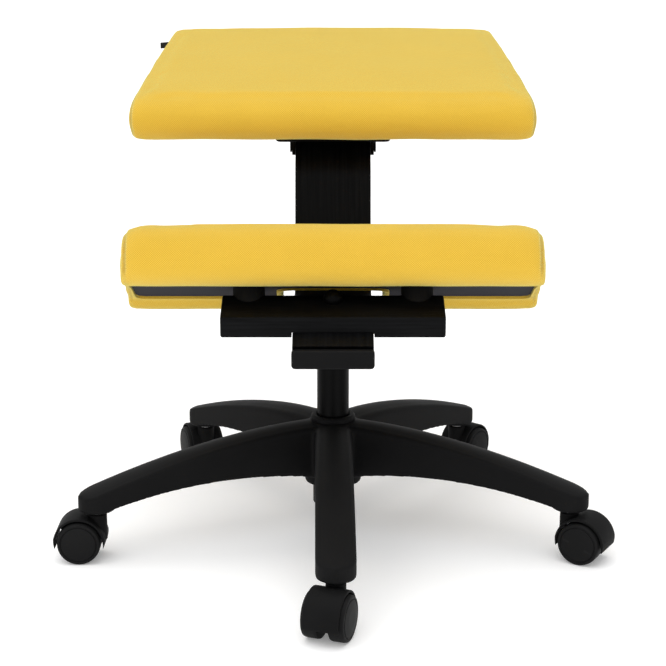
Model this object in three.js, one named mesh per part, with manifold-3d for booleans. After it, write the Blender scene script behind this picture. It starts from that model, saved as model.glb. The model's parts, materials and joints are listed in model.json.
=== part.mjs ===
// A kneeling chair: a sloping seat and a knee rest on one bent wooden beam,
// carried by a height-adjustable column on a five-armed base with twin-wheel castors.
// Millimetres, +Z up, origin on the floor under the column, knee side towards -Y.
import * as THREE from "three";
import { mergeVertices } from "three/addons/utils/BufferGeometryUtils.js";
import Module from "manifold-3d";

const wasm = await Module();
wasm.setup();

// General clearances and facet counts
const RUNNING_GAP = 0.3;
const CUT_OVERRUN = 4;
const TUBE_SIDES = 28;
const BOLT_SIDES = 12;
const ARC_STEP = 9;
const QUARTER_TURN = 90;
const END_SHARES = [0, 0.4, 0.65, 0.83, 0.94, 1];
const CORNER_POWER = 2.4;
const FLAT_SHARE = 0.55;

// Five-armed base
const ARM_COUNT = 5;
const BASE_TURN = 0.6;
const PIVOT_RADIUS = 288;
const BOSS_RADIUS = 21.7;
const BOSS_BOTTOM = 60;
const BOSS_WALL_TOP = 76.4;
const BOSS_CROWN = 9.4;
const BOSS_SIDES = 20;
const ARM_ROOT_RADIUS = 22;
const ARM_ROOT_WIDTH = 49;
const ARM_TIP_WIDTH = 43.4;
const ARM_ROOT_TOP = 141;
const ARM_TIP_TOP = 86.5;
const ARM_ROOT_BOTTOM = 74.5;
const ARM_ARCH_CONTROL = 99.5;
const ARM_FALL_POWER = 1.7;
const ARM_WALL = 4;
const ARM_CROWN = 4;
const ARM_SHOULDER = 8;
const ARM_STATIONS = 8;
const ARM_RIB = 2.6;
const ARM_RIB_RECESS = 7;
const CHANNEL_START = 44;
const CHANNEL_END = 262;
const HUB_TOP = 140.6;
const HUB_TOP_RADIUS = 27.6;
const HUB_BOTTOM = 64;
const HUB_BOTTOM_RADIUS = 34;

// Column tubes
const OUTER_TUBE_RADIUS = 24;
const OUTER_TUBE_BOTTOM = 34;
const OUTER_TUBE_FLOOR = 4;
const OUTER_TUBE_CHAMFER = 3;
const INNER_TUBE_RADIUS = 19;
const INNER_TUBE_BOTTOM = 61;
const INNER_TUBE_ENTRY = 40;
const COLLAR_RADIUS = 26.5;
const COLLAR_HEIGHT = 6.6;
const COLLAR_CHAMFER = 1.6;
const CLIP_RADIUS = 9;
const CLIP_THICKNESS = 2.4;

// Castors
const WHEEL_RADIUS = 25;
const WHEEL_SIDES = 28;
const WHEEL_INNER_FACE = 6;
const WHEEL_OUTER_FACE = 24;
const WHEEL_RIM = 2.6;
const WHEEL_DISC_RADIUS = 18.5;
const WHEEL_DISC_PROUD = 0.8;
const CASTOR_TRAIL = 20;
const HOOD_GAP = 1.8;
const HOOD_WALL = 2.4;
const HOOD_HALF_WIDTH = 20;
const HOOD_FOOT = 19;
const HOOD_STEP = 15;
const WEB_HALF_WIDTH = 5;
const PIN_HOUSING_RADIUS = 11;
const PIN_HOUSING_BOTTOM = 24;
const PIN_HOUSING_TOP = 55.5;
const HOUSING_SIDES = 16;
const NECK_RADIUS = 8;
const NECK_HEIGHT = 3.9;
const STEM_RADIUS = 5.5;
const STEM_DEPTH = 18;
const STEM_RISE = 18;
const AXLE_RADIUS = 3;
const SWIVELS = {
  front: { arm: 0, turn: 250 },
  right: { arm: 1, turn: 330 },
  rear_right: { arm: 2, turn: 50 },
  rear_left: { arm: 3, turn: 112 },
  left: { arm: 4, turn: 180 },
};

// Bent wooden beam, drawn by the corners of its upper face
const BEAM_WIDTH = 90;
const BEAM_THICKNESS = 22;
const BEAM_EDGE = 1.8;
const NOSE_ANGLE = 26;
const KNEE_ANGLE = 17;
const STEM_ANGLE = 76;
const SEAT_ANGLE = 8;
const FLAT_HEIGHT = 294.3;
const STEM_FOOT = 25.9;
const KNEE_BREAK = -67.8;
const KNEE_RAMP = 56.7;
const NOSE_LENGTH = 20.5;
const STEM_LENGTH = 176.1;
const SEAT_LEG = 168;
const NOSE_BEND = 80;
const KNEE_BEND = 40;
const FOOT_BEND = 55;
const SEAT_BEND = 76;
const SLOT_WIDTH = 9;

// Moulded cap on the beam's front end
const CAP_WIDTH = 91.6;
const CAP_HEIGHT = 21;
const CAP_LENGTH = 7.5;
const CAP_DROP = 24.4;
const CAP_CORNER = 4;
const CAP_EDGE = 1;

// Column head under the beam
const HEAD_WIDTH = 84;
const HEAD_FRONT = -32;
const HEAD_REAR = 44;
const HEAD_DEPTH = 50;
const SOCKET_RADIUS = 25;
const SOCKET_SKIRT = 8;
const HEAD_BOLT_X = 33.5;
const HEAD_BOLT_Y = -14;
const HEAD_BOLT_ENTRY = 15.7;
const BOLT_RADIUS = 4;
const BOLT_HEAD_RADIUS = 6.5;
const BOLT_HEAD_HEIGHT = 4;

// Release lever
const LEVER_X = 33;
const LEVER_Y = 14;
const LEVER_RISE = 24;
const LEVER_RADIUS = 4.5;
const LEVER_EYE_RADIUS = 6.5;
const LEVER_EYE_LENGTH = 13;
const LEVER_PIN_RADIUS = 2;
const LEVER_PIN_LENGTH = 26;
const LEVER_STRAIGHT = 22;
const LEVER_ARM = 86;
const LEVER_SWEEP = 48;
const LEVER_SIDES = 10;
const LEVER_ROOM = 4;
const GRIP_RADIUS = 8;
const GRIP_LENGTH = 46;
const GRIP_END = 3;

// Knee rest carriage: wooden crossbar, pegs, clamp
const CROSSBAR_WIDTH = 250;
const CROSSBAR_EDGE = 1.5;
const CLAMP_FROM_BREAK = 11.4;
const CROSSBAR_FRONT = 37.8;
const CROSSBAR_TOP = 17;
const CROSSBAR_SKIRT = 5;
const CROSSBAR_RIDGE = 10.1;
const CROSSBAR_REAR = 29.1;
const CROSSBAR_REAR_TOP = -1;
const DADO_CLEARANCE = 0.9;
const PEG_RADIUS = 18.2;
const PEG_X = 95.3;
const PEG_FROM_RIDGE = 8;
const PEG_SIDES = 24;
const DOME_RADIUS = 10.8;
const DOME_HEIGHT = 11.8;
const DOME_RIM = 3;
const KNOB_RADIUS = 19;
const KNOB_HEIGHT = 20;
const KNOB_NECK_RADIUS = 6;
const KNOB_NECK_HEIGHT = 8;
const KNOB_BORE_DEPTH = 18;
const KNOB_LOBES = 6;
const KNOB_LOBE_DEPTH = 2;
const KNOB_EDGE = 2;
const SLIDE_BACK = 1.5;
const SLIDE_FORWARD = 28;

// Knee cushion, in its own tilted frame: depth runs down to the rear, height runs up
const KNEE_TILT = 26.5;
const KNEE_AHEAD = 20.7;
const KNEE_ABOVE = 27.4;
const KNEE_WIDTH = 469;
const KNEE_REAR_WIDTH = 486;
const KNEE_ROLL = 35;
const KNEE_ROLL_CENTRE = 24;
const KNEE_LENGTH = 170;
const KNEE_HEIGHT = 57;
const KNEE_REAR_LIP = 11;
const KNEE_LIP_WIDTH = 28;
const KNEE_REAR_ROUND = 16;
const KNEE_SIDE_REACH = 30;
const KNEE_TOP_ROUND = 16;
const KNEE_BOTTOM_ROUND = 2.5;
const KNEE_FRONT_ROUND = 18;
const KNEE_CORNER_ROUND = 5;
const KNEE_CROWN = 0.8;
const KNEE_DROOP = 4.2;
const NOTCH_WIDTH = 117;
const NOTCH_DEPTH = 67;
const NOTCH_CORNER = 14;
const NOTCH_FLARE = 5;
const KNEE_BOARD_THICKNESS = 8;
const KNEE_BOARD_FRONT = 14;
const KNEE_BOARD_REAR = 102;
const KNEE_BORDER = 12;
const KNEE_BOARD_CORNER = 10;
const BOARD_NOTCH_BORDER = 7;

// Seat cushion, in its own tilted frame: depth runs up to the rear
const SEAT_SETBACK = 36.8;
const SEAT_WIDTH = 473;
const SEAT_REAR_WIDTH = 431;
const SEAT_LENGTH = 368;
const SEAT_HEIGHT = 52;
const SEAT_RISE = 5.5;
const SEAT_CROWN = 3;
const SEAT_DROOP = 0;
const SEAT_REAR_ROUND = 14;
const SEAT_SIDE_REACH = 20;
const SEAT_TOP_ROUND = 18;
const SEAT_BOTTOM_ROUND = 9;
const SEAT_PLAN_ROUND = 20;
const SEAT_BOARD_THICKNESS = 12;
const SEAT_BOARD_PROUD = 7.8;
const SEAT_BOARD_BORDER = 48;
const SEAT_BOARD_CORNER = 30;

// Seat bracket
const PLATE_WIDTH = 136;
const PLATE_THICKNESS = 4.5;
const PLATE_FRONT = 28.3;
const PLATE_LENGTH = 190;
const PLATE_EDGE = 1.2;
const FLANGE_THICKNESS = 3.9;
const FLANGE_DEPTH = 25;
const FLANGE_INSET = 26;
const FLANGE_LENGTH = 130;
const FLANGE_CORNER = 6;
const CROSS_BOLT_INSET = 8;
const CROSS_BOLT_SPACING = 96;
const CROSS_BOLT_DROP = 15;
const CROSS_HEAD_HEIGHT = 2.2;
const SEAT_SCREW_RADIUS = 3;
const SEAT_SCREW_HEAD = 6;
const SEAT_SCREW_HEAD_HEIGHT = 2.5;
const SEAT_SCREW_BORDER = 9;
const SEAT_SCREW_SETBACK = 34;
const SEAT_SCREW_REACH = 13;

// Blank side tag on the seat
const TAG_FROM_REAR = 52;
const TAG_HEIGHT_ON_SIDE = 38;
const TAG_SIZE = 9;
const TAG_THICKNESS = 1.2;
const TAG_SEWN_IN = 3.5;

// Materials
const FABRIC = { color: 0xe6c04c, roughness: 0.9, metalness: 0 };
const BLACK_WOOD = { color: 0x1a1a1b, roughness: 0.45, metalness: 0 };
const BLACK_NYLON = { color: 0x202022, roughness: 0.55, metalness: 0 };
const BLACK_STEEL = { color: 0x1c1c1e, roughness: 0.4, metalness: 0.6 };
const BRIGHT_STEEL = { color: 0x9a9a9c, roughness: 0.3, metalness: 1 };
const CHARCOAL_BOARD = { color: 0x333338, roughness: 0.8, metalness: 0 };
const BLACK_TYRE = { color: 0x18181a, roughness: 0.5, metalness: 0 };
const BLACK_LABEL = { color: 0x141414, roughness: 0.9, metalness: 0 };

const SIDES = { left: -1, right: 1 };

const chair = new THREE.Group();

const radians = THREE.MathUtils.degToRad;
const lean = (angle) => ({ c: Math.cos(radians(angle)), s: Math.sin(radians(angle)) });

// Solids: conversion to and from manifold bodies
function bodyOf(geometry) {
  const plain = geometry.index ? geometry.toNonIndexed() : geometry.clone();
  plain.deleteAttribute("normal");
  plain.deleteAttribute("uv");
  const merged = mergeVertices(plain);
  return new wasm.Manifold(
    new wasm.Mesh({
      numProp: 3,
      vertProperties: new Float32Array(merged.attributes.position.array),
      triVerts: new Uint32Array(merged.index.array),
    }),
  );
}

function geometryOf(body) {
  const data = body.getMesh();
  const geometry = new THREE.BufferGeometry();
  geometry.setAttribute("position", new THREE.BufferAttribute(data.vertProperties, 3));
  geometry.setIndex(new THREE.BufferAttribute(data.triVerts, 1));
  geometry.computeVertexNormals();
  return geometry;
}

function joined(pieces) {
  return geometryOf(pieces.map(bodyOf).reduce((whole, piece) => whole.add(piece)));
}

function cut(geometry, cutters) {
  return geometryOf(
    cutters.map(bodyOf).reduce((whole, piece) => whole.subtract(piece), bodyOf(geometry)),
  );
}

function addPiece(parent, name, geometry, look) {
  const mesh = new THREE.Mesh(geometry, new THREE.MeshStandardMaterial(look));
  mesh.name = name;
  parent.add(mesh);
  return mesh;
}

// Basic shapes, all about the Z axis or the X axis
function turned(profile, sides) {
  const points = profile.map(([radius, height]) => new THREE.Vector2(radius, height));
  const geometry = new THREE.LatheGeometry([...points, points[0]], sides);
  geometry.rotateX(radians(QUARTER_TURN));
  return geometry;
}

function upright(radius, bottom, top, sides) {
  return turned([[0, bottom], [radius, bottom], [radius, top], [0, top]], sides);
}

function block(low, high) {
  const size = high.map((value, axis) => value - low[axis]);
  const geometry = new THREE.BoxGeometry(...size);
  geometry.translate(...low.map((value, axis) => value + size[axis] / 2));
  return geometry;
}

function crossPin(radius, length, sides) {
  const geometry = upright(radius, -length / 2, length / 2, sides);
  geometry.rotateY(radians(QUARTER_TURN));
  return geometry;
}

function shapeOf(points) {
  return new THREE.Shape(points.map(([a, b]) => new THREE.Vector2(a, b)));
}

// An outline in the YZ plane, given its width along X and centred on it
function slab(points, width, edge = 0) {
  const bevel = edge > 0;
  const geometry = new THREE.ExtrudeGeometry(shapeOf(points), {
    depth: width - 2 * edge,
    bevelEnabled: bevel,
    bevelThickness: edge,
    bevelSize: edge,
    bevelOffset: -edge,
    bevelSegments: 1,
    curveSegments: 1,
  });
  geometry.translate(0, 0, edge - width / 2);
  const turn = new THREE.Matrix4().makeBasis(
    new THREE.Vector3(0, 1, 0),
    new THREE.Vector3(0, 0, 1),
    new THREE.Vector3(1, 0, 0),
  );
  geometry.applyMatrix4(turn);
  return geometry;
}

// An outline in the XY plane, given its height along Z
function plate(points, bottom, top, edge = 0) {
  const bevel = edge > 0;
  const geometry = new THREE.ExtrudeGeometry(shapeOf(points), {
    depth: top - bottom - 2 * edge,
    bevelEnabled: bevel,
    bevelThickness: edge,
    bevelSize: edge,
    bevelOffset: -edge,
    bevelSegments: 1,
    curveSegments: 1,
  });
  geometry.translate(0, 0, bottom + edge);
  return geometry;
}

function arcPoints(centreX, centreY, radius, from, to, steps) {
  return Array.from({ length: steps + 1 }, (_, i) => {
    const angle = radians(from + ((to - from) * i) / steps);
    return [centreX + radius * Math.cos(angle), centreY + radius * Math.sin(angle)];
  });
}

// A rectangle with rounded corners
function roundedBox(left, right, low, high, radius, steps = 3) {
  return [
    ...arcPoints(right - radius, low + radius, radius, -90, 0, steps),
    ...arcPoints(right - radius, high - radius, radius, 0, 90, steps),
    ...arcPoints(left + radius, high - radius, radius, 90, 180, steps),
    ...arcPoints(left + radius, low + radius, radius, 180, 270, steps),
  ];
}

// Beam path: corners with round bends, sampled with the direction at each point
function bentPath(corners, bends) {
  const vectors = corners.map(([y, z]) => new THREE.Vector2(y, z));
  const samples = [];
  const heading = (from, to) => vectors[to].clone().sub(vectors[from]).normalize();
  samples.push({ point: vectors[0], along: heading(0, 1) });
  for (let i = 1; i < vectors.length - 1; i += 1) {
    const before = heading(i - 1, i);
    const after = heading(i, i + 1);
    const turn = Math.atan2(before.cross(after), before.dot(after));
    const radius = bends[i - 1];
    const reach = radius * Math.tan(Math.abs(turn) / 2);
    const start = vectors[i].clone().addScaledVector(before, -reach);
    const side = new THREE.Vector2(-before.y, before.x).multiplyScalar(Math.sign(turn));
    const centre = start.clone().addScaledVector(side, radius);
    const steps = Math.max(2, Math.ceil(Math.abs(THREE.MathUtils.radToDeg(turn)) / ARC_STEP));
    for (let k = 0; k <= steps; k += 1) {
      const along = before.clone().rotateAround(new THREE.Vector2(), (turn * k) / steps);
      const outward = new THREE.Vector2(along.y, -along.x).multiplyScalar(Math.sign(turn));
      samples.push({ point: centre.clone().addScaledVector(outward, radius), along });
    }
  }
  const last = vectors.length - 1;
  samples.push({ point: vectors[last], along: heading(last - 1, last) });
  return samples;
}

// The same path moved down and back from the beam's upper face
function offsetPath(samples, distance) {
  return samples.map(({ point, along }) => [
    point.x + along.y * distance,
    point.y - along.x * distance,
  ]);
}

const nose = lean(NOSE_ANGLE);
const ramp = lean(KNEE_ANGLE);
const stemLean = lean(STEM_ANGLE);
const seatLean = lean(SEAT_ANGLE);
const kneeBreak = [KNEE_BREAK, FLAT_HEIGHT];
const noseBreak = [kneeBreak[0] - KNEE_RAMP * ramp.c, kneeBreak[1] - KNEE_RAMP * ramp.s];
const beamTip = [noseBreak[0] - NOSE_LENGTH * nose.c, noseBreak[1] - NOSE_LENGTH * nose.s];
const stemFoot = [STEM_FOOT, FLAT_HEIGHT];
const seatBend = [stemFoot[0] + STEM_LENGTH * stemLean.c, stemFoot[1] + STEM_LENGTH * stemLean.s];
const beamEnd = [seatBend[0] + SEAT_LEG * seatLean.c, seatBend[1] + SEAT_LEG * seatLean.s];
const beamPath = bentPath(
  [beamTip, noseBreak, kneeBreak, stemFoot, seatBend, beamEnd],
  [NOSE_BEND, KNEE_BEND, FOOT_BEND, SEAT_BEND],
);

// Tilted frames in the YZ plane: a group whose +Y runs along the slope
function tiltedGroup(parent, [y, z], angle) {
  const group = new THREE.Group();
  group.position.set(0, y, z);
  group.rotation.x = radians(angle);
  parent.add(group);
  return group;
}

function place(geometry, [y, z], angle) {
  geometry.rotateX(radians(angle));
  geometry.translate(0, y, z);
  return geometry;
}

const headBottom = FLAT_HEIGHT - BEAM_THICKNESS - RUNNING_GAP - HEAD_DEPTH;
const innerTubeTop = headBottom + INNER_TUBE_ENTRY;
const headBoltReach = HEAD_DEPTH + RUNNING_GAP + HEAD_BOLT_ENTRY;
const leverHeight = headBottom + LEVER_RISE;
const capFront = beamTip[0] - CAP_LENGTH;
const capBottom = beamTip[1] - CAP_DROP;
const clampPoint = [
  kneeBreak[0] - CLAMP_FROM_BREAK * ramp.c,
  kneeBreak[1] - CLAMP_FROM_BREAK * ramp.s,
];
const seatOrigin = [
  seatBend[0] - SEAT_SETBACK * seatLean.c - (PLATE_THICKNESS + SEAT_BOARD_PROUD) * seatLean.s,
  seatBend[1] - SEAT_SETBACK * seatLean.s + (PLATE_THICKNESS + SEAT_BOARD_PROUD) * seatLean.c,
];
const ridgePoint = [
  clampPoint[0] + CROSSBAR_RIDGE * ramp.c - CROSSBAR_TOP * ramp.s,
  clampPoint[1] + CROSSBAR_RIDGE * ramp.s + CROSSBAR_TOP * ramp.c,
];
const kneeOrigin = [ridgePoint[0] - KNEE_AHEAD, ridgePoint[1] + KNEE_ABOVE];

// Base: arms, hub and bosses in one moulding
function armTop(share) {
  return ARM_ROOT_TOP - (ARM_ROOT_TOP - ARM_TIP_TOP) * share ** ARM_FALL_POWER;
}

function armBottom(share) {
  const rest = 1 - share;
  return rest * rest * ARM_ROOT_BOTTOM + 2 * share * rest * ARM_ARCH_CONTROL
    + share * share * BOSS_BOTTOM;
}

function loft(rings) {
  const count = rings[0].length;
  const positions = rings.flat(2);
  const faces = [];
  for (let ring = 0; ring < rings.length - 1; ring += 1) {
    for (let i = 0; i < count; i += 1) {
      const a = ring * count + i;
      const b = ring * count + ((i + 1) % count);
      faces.push(a, b, a + count, b, b + count, a + count);
    }
  }
  const lastRing = (rings.length - 1) * count;
  for (let i = 1; i < count - 1; i += 1) {
    faces.push(0, i + 1, i, lastRing, lastRing + i, lastRing + i + 1);
  }
  const geometry = new THREE.BufferGeometry();
  geometry.setAttribute("position", new THREE.Float32BufferAttribute(positions, 3));
  geometry.setIndex(faces);
  return geometry;
}

function armRing(radius, halfWidth, bottom, top) {
  const shoulder = Math.min(ARM_SHOULDER, halfWidth / 2);
  return [
    [radius, halfWidth, bottom],
    [radius, halfWidth, top - ARM_CROWN - shoulder / 2],
    [radius, halfWidth - shoulder / 3, top - ARM_CROWN + shoulder / 5],
    [radius, halfWidth - shoulder, top - shoulder / 6],
    [radius, 0, top],
    [radius, shoulder - halfWidth, top - shoulder / 6],
    [radius, shoulder / 3 - halfWidth, top - ARM_CROWN + shoulder / 5],
    [radius, -halfWidth, top - ARM_CROWN - shoulder / 2],
    [radius, -halfWidth, bottom],
  ];
}

function boxRing(radius, halfWidth, bottom, top) {
  return [
    [radius, halfWidth, bottom],
    [radius, halfWidth, top],
    [radius, -halfWidth, top],
    [radius, -halfWidth, bottom],
  ];
}

function armStations(from, to, ringAt) {
  return Array.from({ length: ARM_STATIONS + 1 }, (_, i) => {
    const radius = from + ((to - from) * i) / ARM_STATIONS;
    const share = (radius - ARM_ROOT_RADIUS) / (PIVOT_RADIUS - ARM_ROOT_RADIUS);
    const width = ARM_ROOT_WIDTH + (ARM_TIP_WIDTH - ARM_ROOT_WIDTH) * share;
    return ringAt(radius, width / 2, share);
  });
}

function armAngle(arm) {
  return BASE_TURN - QUARTER_TURN + (360 * arm) / ARM_COUNT;
}

function starBase() {
  const hubProfile = [
    [0, HUB_BOTTOM],
    [HUB_BOTTOM_RADIUS, HUB_BOTTOM],
    [HUB_BOTTOM_RADIUS, (HUB_BOTTOM + HUB_TOP) / 2],
    [HUB_TOP_RADIUS, HUB_TOP],
    [0, HUB_TOP],
  ];
  const bossTop = BOSS_WALL_TOP + BOSS_CROWN;
  const bossProfile = [
    [0, BOSS_BOTTOM],
    [BOSS_RADIUS, BOSS_BOTTOM],
    [BOSS_RADIUS, BOSS_WALL_TOP],
    [BOSS_RADIUS * 0.86, BOSS_WALL_TOP + BOSS_CROWN * 0.55],
    [BOSS_RADIUS * 0.5, BOSS_WALL_TOP + BOSS_CROWN * 0.9],
    [0, bossTop],
  ];
  const bodies = [turned(hubProfile, TUBE_SIDES)];
  const channels = [];
  const ribs = [];
  for (let arm = 0; arm < ARM_COUNT; arm += 1) {
    const angle = radians(armAngle(arm));
    const outer = loft(
      armStations(ARM_ROOT_RADIUS, PIVOT_RADIUS, (radius, half, share) =>
        armRing(radius, half, armBottom(share), armTop(share))),
    );
    const channel = loft(
      armStations(CHANNEL_START, CHANNEL_END, (radius, half, share) =>
        boxRing(radius, half - ARM_WALL, armBottom(share) - CUT_OVERRUN,
          armTop(share) - ARM_WALL - ARM_CROWN - ARM_SHOULDER / 3)),
    );
    const rib = loft(
      armStations(CHANNEL_START - ARM_WALL, CHANNEL_END + ARM_WALL, (radius, half, share) =>
        boxRing(radius, ARM_RIB / 2, armBottom(share) + ARM_RIB_RECESS,
          armTop(share) - ARM_WALL - ARM_CROWN)),
    );
    const boss = turned(bossProfile, BOSS_SIDES);
    boss.translate(PIVOT_RADIUS, 0, 0);
    [outer, channel, rib, boss].forEach((piece) => piece.rotateZ(angle));
    bodies.push(outer, boss);
    channels.push(channel);
    ribs.push(rib);
  }
  const hollowed = cut(joined(bodies), channels);
  const bores = [
    upright(OUTER_TUBE_RADIUS + RUNNING_GAP, HUB_BOTTOM - CUT_OVERRUN, ARM_ROOT_TOP + CUT_OVERRUN,
      TUBE_SIDES),
    block(
      [-COLLAR_RADIUS, -COLLAR_RADIUS, HUB_TOP],
      [COLLAR_RADIUS, COLLAR_RADIUS, ARM_ROOT_TOP + CUT_OVERRUN],
    ),
  ];
  for (let arm = 0; arm < ARM_COUNT; arm += 1) {
    const bore = upright(STEM_RADIUS + RUNNING_GAP, BOSS_BOTTOM - CUT_OVERRUN,
      BOSS_BOTTOM + STEM_RISE + RUNNING_GAP, BOLT_SIDES);
    bore.translate(PIVOT_RADIUS, 0, 0);
    bore.rotateZ(radians(armAngle(arm)));
    bores.push(bore);
  }
  return cut(joined([hollowed, ...ribs]), bores);
}

function outerTube() {
  const bore = INNER_TUBE_RADIUS + RUNNING_GAP;
  const top = HUB_TOP;
  return turned([
    [0, OUTER_TUBE_BOTTOM],
    [OUTER_TUBE_RADIUS - OUTER_TUBE_CHAMFER, OUTER_TUBE_BOTTOM],
    [OUTER_TUBE_RADIUS, OUTER_TUBE_BOTTOM + OUTER_TUBE_CHAMFER],
    [OUTER_TUBE_RADIUS, top],
    [bore, top],
    [bore, OUTER_TUBE_BOTTOM + OUTER_TUBE_FLOOR],
    [0, OUTER_TUBE_BOTTOM + OUTER_TUBE_FLOOR],
  ], TUBE_SIDES);
}

function collar() {
  const bore = INNER_TUBE_RADIUS + RUNNING_GAP;
  const bottom = HUB_TOP + RUNNING_GAP;
  return turned([
    [bore, bottom],
    [COLLAR_RADIUS, bottom],
    [COLLAR_RADIUS, bottom + COLLAR_HEIGHT - COLLAR_CHAMFER],
    [COLLAR_RADIUS - COLLAR_CHAMFER, bottom + COLLAR_HEIGHT],
    [bore, bottom + COLLAR_HEIGHT],
  ], TUBE_SIDES);
}

// Castor, drawn about its upright pin: +X is the way the wheels trail
function castorFork() {
  const inner = WHEEL_RADIUS + HOOD_GAP;
  const outer = inner + HOOD_WALL;
  const foot = HOOD_FOOT - WHEEL_RADIUS;
  const reach = THREE.MathUtils.radToDeg(Math.asin(-foot / outer));
  const steps = Math.round((180 + 2 * reach) / HOOD_STEP);
  const outerArc = arcPoints(0, 0, outer, -reach, 180 + reach, steps);
  const innerArc = arcPoints(0, 0, inner, 180 + reach, -reach, steps);
  const hood = slab([...outerArc, ...innerArc], 2 * HOOD_HALF_WIDTH);
  const web = slab(outerArc, 2 * WEB_HALF_WIDTH);
  [hood, web].forEach((piece) => {
    piece.rotateZ(radians(-QUARTER_TURN));
    piece.translate(CASTOR_TRAIL, 0, WHEEL_RADIUS);
  });
  const housing = upright(PIN_HOUSING_RADIUS, PIN_HOUSING_BOTTOM, PIN_HOUSING_TOP, HOUSING_SIDES);
  const wheelRoom = crossPin(inner, 2 * HOOD_HALF_WIDTH + CUT_OVERRUN, WHEEL_SIDES);
  wheelRoom.rotateZ(radians(QUARTER_TURN));
  wheelRoom.translate(CASTOR_TRAIL, 0, WHEEL_RADIUS);
  const housingOutside = cut(housing, [wheelRoom]);
  const axleBore = crossPin(AXLE_RADIUS + RUNNING_GAP, 2 * HOOD_HALF_WIDTH, BOLT_SIDES);
  axleBore.rotateZ(radians(QUARTER_TURN));
  axleBore.translate(CASTOR_TRAIL, 0, WHEEL_RADIUS);
  const stemBore = upright(STEM_RADIUS + RUNNING_GAP, PIN_HOUSING_TOP - STEM_DEPTH,
    PIN_HOUSING_TOP + CUT_OVERRUN, BOLT_SIDES);
  return cut(joined([hood, web, housingOutside]), [axleBore, stemBore]);
}

function castorStem() {
  const seat = PIN_HOUSING_TOP + RUNNING_GAP;
  return turned([
    [0, PIN_HOUSING_TOP - STEM_DEPTH + RUNNING_GAP],
    [STEM_RADIUS, PIN_HOUSING_TOP - STEM_DEPTH + RUNNING_GAP],
    [STEM_RADIUS, seat],
    [NECK_RADIUS, seat],
    [NECK_RADIUS, seat + NECK_HEIGHT],
    [STEM_RADIUS, seat + NECK_HEIGHT],
    [STEM_RADIUS, BOSS_BOTTOM + STEM_RISE],
    [0, BOSS_BOTTOM + STEM_RISE],
  ], BOLT_SIDES);
}

// One wheel about the X axis, with a flat facet at its lowest point
function castorWheel(side) {
  const tread = WHEEL_RADIUS / Math.cos(Math.PI / WHEEL_SIDES);
  const shoulder = tread - WHEEL_RIM;
  const bore = AXLE_RADIUS + RUNNING_GAP;
  const wheel = turned([
    [bore, WHEEL_INNER_FACE],
    [shoulder, WHEEL_INNER_FACE],
    [tread, WHEEL_INNER_FACE + WHEEL_RIM],
    [tread, WHEEL_OUTER_FACE - WHEEL_RIM],
    [shoulder, WHEEL_OUTER_FACE],
    [WHEEL_DISC_RADIUS, WHEEL_OUTER_FACE],
    [WHEEL_DISC_RADIUS - WHEEL_DISC_PROUD, WHEEL_OUTER_FACE + WHEEL_DISC_PROUD],
    [bore, WHEEL_OUTER_FACE + WHEEL_DISC_PROUD],
  ], WHEEL_SIDES);
  wheel.rotateZ(Math.PI / WHEEL_SIDES);
  wheel.rotateX(radians(side * QUARTER_TURN));
  return wheel;
}

function castorAxle() {
  const axle = crossPin(AXLE_RADIUS, 2 * (WHEEL_OUTER_FACE - RUNNING_GAP), BOLT_SIDES);
  axle.rotateZ(radians(QUARTER_TURN));
  return axle;
}

function addCastors() {
  for (const [name, { arm, turn }] of Object.entries(SWIVELS)) {
    const angle = radians(armAngle(arm));
    const castor = new THREE.Group();
    castor.position.set(PIVOT_RADIUS * Math.cos(angle), PIVOT_RADIUS * Math.sin(angle), 0);
    castor.rotation.z = radians(turn);
    chair.add(castor);
    addPiece(castor, `castor_fork_${name}`, castorFork(), BLACK_NYLON);
    addPiece(castor, `castor_stem_${name}`, castorStem(), BRIGHT_STEEL);
    const axle = addPiece(castor, `castor_axle_${name}`, castorAxle(), BRIGHT_STEEL);
    const sides = { a: 1, b: -1 };
    const wheels = Object.entries(sides).map(([key, side]) =>
      addPiece(castor, `castor_wheel_${name}_${key}`, castorWheel(side), BLACK_TYRE));
    [axle, ...wheels].forEach((piece) => piece.position.set(CASTOR_TRAIL, 0, WHEEL_RADIUS));
  }
}

// Beam with its slot and bolt holes
function beam() {
  const upper = beamPath.map(({ point }) => [point.x, point.y]);
  const lower = offsetPath(beamPath, BEAM_THICKNESS).reverse();
  const plain = slab([...upper, ...lower], BEAM_WIDTH, BEAM_EDGE);
  const half = SLOT_WIDTH / 2;
  const slot = place(
    plate(
      [
        ...arcPoints(0, SLIDE_BACK, half, 0, 180, 4),
        ...arcPoints(0, -SLIDE_FORWARD, half, 180, 360, 4),
      ],
      -BEAM_THICKNESS - CUT_OVERRUN,
      CUT_OVERRUN,
    ),
    clampPoint,
    KNEE_ANGLE,
  );
  const crossHoles = crossBoltHoles(BEAM_WIDTH + CUT_OVERRUN)
    .map((hole) => place(hole, seatBend, SEAT_ANGLE));
  return cut(plain, [slot, ...crossHoles, ...headBoltHoles()]);
}

// Front end cap, cut square to the sloping end of the beam
function beamCap() {
  const half = CAP_WIDTH / 2;
  const top = capBottom + CAP_HEIGHT;
  const depth = beamTip[0] - capFront + BEAM_THICKNESS;
  const outline = roundedBox(-half, half, capBottom, top, CAP_CORNER);
  const body = plate(outline, 0, depth, CAP_EDGE);
  body.rotateX(radians(QUARTER_TURN));
  body.translate(0, capFront + depth, 0);
  const reach = BEAM_WIDTH;
  const behind = block([-reach, -RUNNING_GAP, -reach], [reach, reach, reach]);
  return cut(body, [place(behind, beamTip, NOSE_ANGLE)]);
}

// Column head: a saddle under the beam with a socket for the column
function underBeam() {
  return offsetPath(beamPath, BEAM_THICKNESS + RUNNING_GAP);
}

function heightOnPath(points, y) {
  const i = points.findIndex(([position]) => position >= y);
  const [y0, z0] = points[i - 1];
  const [y1, z1] = points[i];
  return z0 + ((z1 - z0) * (y - y0)) / (y1 - y0);
}

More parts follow.
